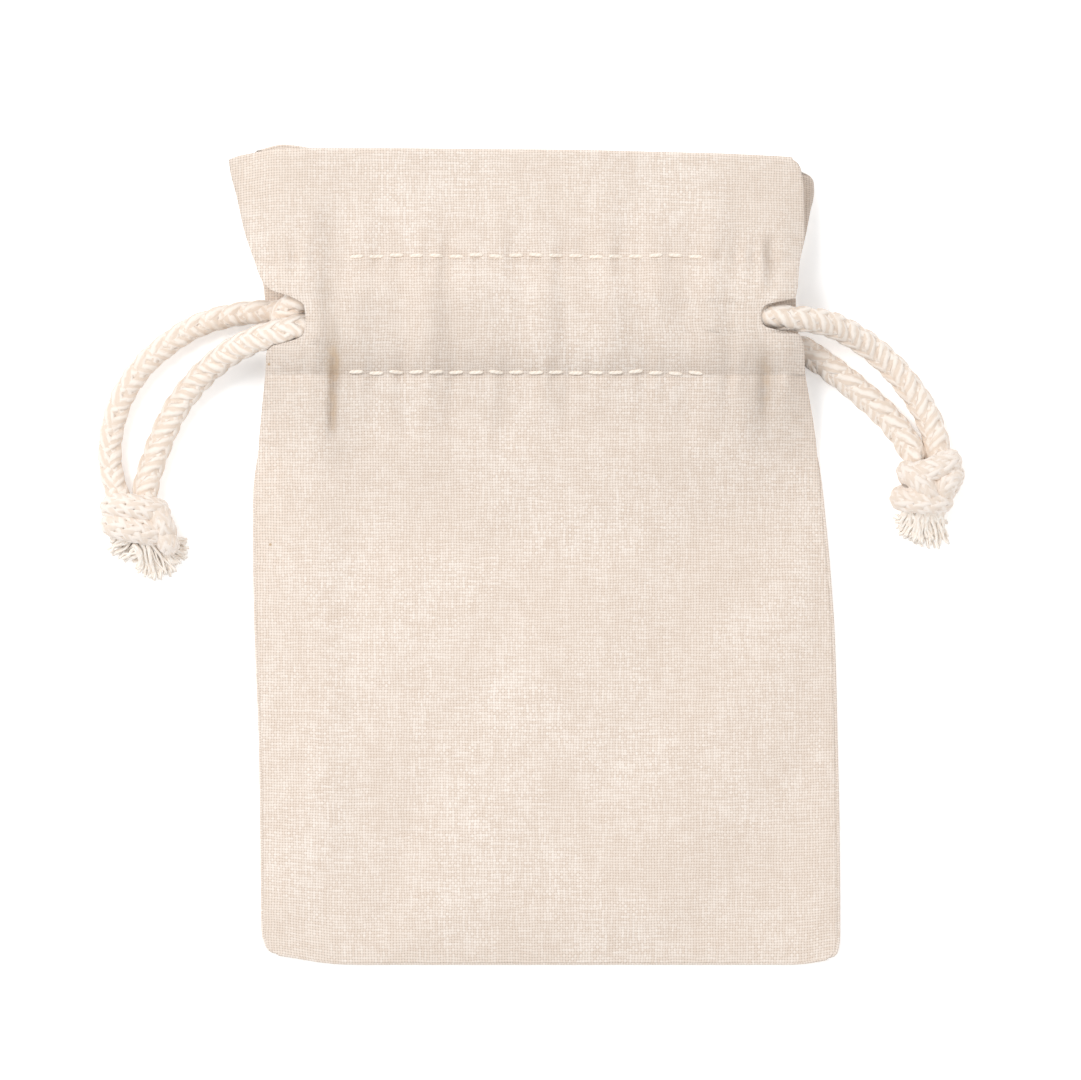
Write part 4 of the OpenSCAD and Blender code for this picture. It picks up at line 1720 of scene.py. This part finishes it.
@dataclass
class EdgeRoll:
    """The turned edge of the cloth where front and back meet, down a side or along the bottom."""

    form: SackForm
    edge: Edge
    radius: float = 0.42
    height: float = 0.72
    inset: float = 0.2
    weave_run: float = 100.0

    def middle(self, t: Array) -> Array:
        """The middle line of the roll, in millimetres.

        Args:
            t: Shares along the roll.

        Returns:
            The points of the line.
        """
        f = self.form
        if self.edge is Edge.BOTTOM:
            x = f.sack_left.at(np.array(f.bottom)) + self.inset
            x = x + (f.sack_right.at(np.array(f.bottom)) - self.inset - x) * t
            y = np.full_like(x, f.bottom) + f.bottom_lift(x, np.full_like(x, f.bottom))
        else:
            y = f.bottom + (f.vent - f.bottom) * t
            outline = f.sack_left if self.edge is Edge.LEFT else f.sack_right
            x = outline.at(y)
            y = y + f.bottom_lift(x, y)
        return np.stack([x, y, np.full_like(x, self.height)], axis=1)

    def make(self, finish: bpy.types.Material) -> bpy.types.Object:
        """Rolls the edge.

        Args:
            finish: The cloth's material.

        Returns:
            The edge.
        """
        fade = 1.0 if self.edge is Edge.BOTTOM else 14.0

        def place(share: Array, t: Array, i: Array) -> tuple[Array, Array, Array]:
            """Places the points of the roll.

            Args:
                share: Shares round the roll.
                t: Shares along it.
                i: The number of the roll, which is always 0.

            Returns:
                The points, the length along the roll and the depth.
            """
            middle = self.middle(t)
            ahead = unit(self.middle(t + 0.003) - self.middle(t - 0.003))
            beside = np.cross(ahead, (0.0, 0.0, 1.0))
            turn = 2 * math.pi * share
            size = self.radius * np.sqrt(np.clip(np.minimum(t, (1 - t) / fade) / 0.006, 0.01, 1.0))
            points = middle + beside * (size * np.cos(turn))[:, None]
            points[:, 2] += size * np.sin(turn)
            return points, t * self.weave_run, np.zeros(len(share))

        node = self.edge.node
        mesh = tube_mesh(node, 1, 12, 200, place)
        layer = mesh.uv_layers[0].data
        flat = np.empty(len(layer) * 2, np.float32)
        layer.foreach_get("uv", flat)
        uv = flat.reshape(-1, 2) * (2 * math.pi * self.radius * MM, 1.0)
        layer.foreach_set("uv", uv.astype(np.float32).ravel())
        piece = add_object(f"{node}_roll", mesh, finish)
        if self.edge is Edge.BOTTOM:
            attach(piece, "sack")
        else:
            gather(piece)
        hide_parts(node)
        return report(piece)


@dataclass
class VentHem:
    """The narrow hem behind the open edge of the cloth, between the side seam and the neck."""

    form: SackForm
    face: Face
    side: Side
    width: float = 4.2
    half: float = 47.0
    outermost: float = 0.997
    foot: float = 0.3
    shorter: float = 0.4
    gap: float = 0.10
    depth: float = 0.34

    def make(self, finish: bpy.types.Material) -> bpy.types.Object:
        """Turns the hem in behind the edge.

        Args:
            finish: The hem's material.

        Returns:
            The hem.
        """
        f = self.form
        panel = ClothPiece(f, self.face, self.side, Panel.BODY)
        mesh, grid = grid_mesh("vent_hem", 8, 36, True)
        share = self.outermost - (self.width / self.half) * grid[:, 0]
        along = f.vent + self.foot + (f.lower - f.vent - self.shorter) * grid[:, 1]
        inwards = -1.0 if self.face is Face.FRONT else 1.0
        points = panel.body_surface(share, along)
        points[:, 2] += inwards * (f.thickness + self.gap + self.depth * grid[:, 2])
        put_points(mesh, points)
        put_uv(mesh, points[:, :2] * MM)
        put_attribute(mesh, "PaintedShade", np.zeros(len(grid)))
        ClothPiece.turn_outwards(mesh)
        node = f"{self.face.value}_{self.side.value}_vent_hem"
        piece = add_object(f"{node}_cloth", mesh, finish)
        gather(piece)
        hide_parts(node)
        return report(piece)


@dataclass
class Sack:
    """The sack itself: its cloth, its edges and its sewing."""

    form: SackForm = field(default_factory=SackForm.from_frame)
    cut_width: float = 49.5

    def make(self, finishes: Finishes) -> None:
        """Builds every cloth piece and every row of stitches.

        Args:
            finishes: The sack's materials.
        """
        f = self.form
        for side in Side:
            for face in Face:
                hem = VentHem(f, face, side).make(finishes.hem)
                body = ClothPiece(f, face, side, Panel.BODY).make(finishes.cloth)
                neck = ClothPiece(f, face, side, Panel.NECK).make(finishes.cloth)
                rows = [StitchRow(f, face, side, row).make(finishes.thread) for row in Row]
                self.declare(body, neck, hem, rows)
        for edge in Edge:
            EdgeRoll(f, edge).make(finishes.cloth)

    def declare(self, body: bpy.types.Object, neck: bpy.types.Object, hem: bpy.types.Object,
            rows: list[bpy.types.Object]) -> None:
        """Takes a half of a face and does nothing with it.

        Args:
            body: The body cloth of the half. Not used.
            neck: The neck and its turned-in hem. Not used.
            hem: The narrow hem of its vent. Not used.
            rows: Its rows of stitches. Not used.
        """


# ---------------------------------------------------------------- studio


@dataclass(frozen=True)
class Studio:
    """The pale floor, the soft light and the camera."""

    frame_width: float = 0.18507
    aim: tuple[float, float, float] = (0.00077, 0.00265, 0.008)
    distance: float = 1.2
    sensor: float = 36.0
    floor: tuple[int, int, int] = (250, 250, 250)
    world: float = 0.74
    floor_half: float = 3.0
    floor_glow: float = 0.28

    def make_camera(self) -> None:
        """Looks straight down on the sack through a long lens."""
        data = bpy.data.cameras.new("camera")
        data.sensor_width = self.sensor
        data.lens = self.sensor * self.distance / self.frame_width
        data.clip_start, data.clip_end = 0.01, 20.0
        camera = bpy.data.objects.new("camera", data)
        camera.location = (self.aim[0], self.aim[1], self.aim[2] + self.distance)
        bpy.context.scene.collection.objects.link(camera)
        bpy.context.scene.camera = camera

    def make_floor(self) -> None:
        """Lays the pale floor under the sack."""
        bm = bmesh.new()
        bmesh.ops.create_grid(bm, x_segments=1, y_segments=1, size=self.floor_half)
        mesh = bpy.data.meshes.new("floor")
        bm.to_mesh(mesh)
        bm.free()
        material, n, shader = new_material("floor_paper")
        place = n.add("ShaderNodeTexCoord").outputs["Object"]
        grain = n.noise(place, 900.0, 2.0)
        n.feed(shader.inputs["Roughness"], n.math("MULTIPLY_ADD", grain, 0.1, 0.85))
        shader.inputs["Base Color"].default_value = linear(*self.floor)
        shader.inputs["Emission Color"].default_value = WHITE
        shader.inputs["Emission Strength"].default_value = self.floor_glow
        add_object("floor", mesh, material)

    def make_lights(self) -> None:
        """Lights the sack from all round, and a little more from the upper left."""
        world = bpy.data.worlds.new("studio")
        bpy.context.scene.world = world
        world.use_nodes = True
        background = world.node_tree.nodes["Background"]
        background.inputs["Color"].default_value = WHITE
        background.inputs["Strength"].default_value = self.world
        bpy.context.scene.view_settings.view_transform = "Standard"
        lamps = (("key", (-0.42, 0.36, 0.9), 0.42, 5.0), ("fill", (0.7, -0.3, 0.9), 0.9, 1.0))
        for name, place, size, power in lamps:
            data = bpy.data.lights.new(name, "AREA")
            data.shape = "DISK"
            data.size = size
            data.energy = power
            light = bpy.data.objects.new(name, data)
            light.location = place
            light.rotation_euler = (-Vector(place)).to_track_quat("-Z", "Y").to_euler()
            bpy.context.scene.collection.objects.link(light)


def main() -> None:
    """Builds the sack in the shared frame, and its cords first."""
    studio = Studio()
    studio.make_camera()
    finishes = Finishes()
    for cord, end in ((LEFT_CORD, LEFT_END), (RIGHT_CORD, RIGHT_END)):
        made = cord.make(finishes.cord)
        cord.declare(made, end.make(finishes))
    Sack().make(finishes)
    studio.make_floor()
    studio.make_lights()


if __name__ == "__main__":
    main()
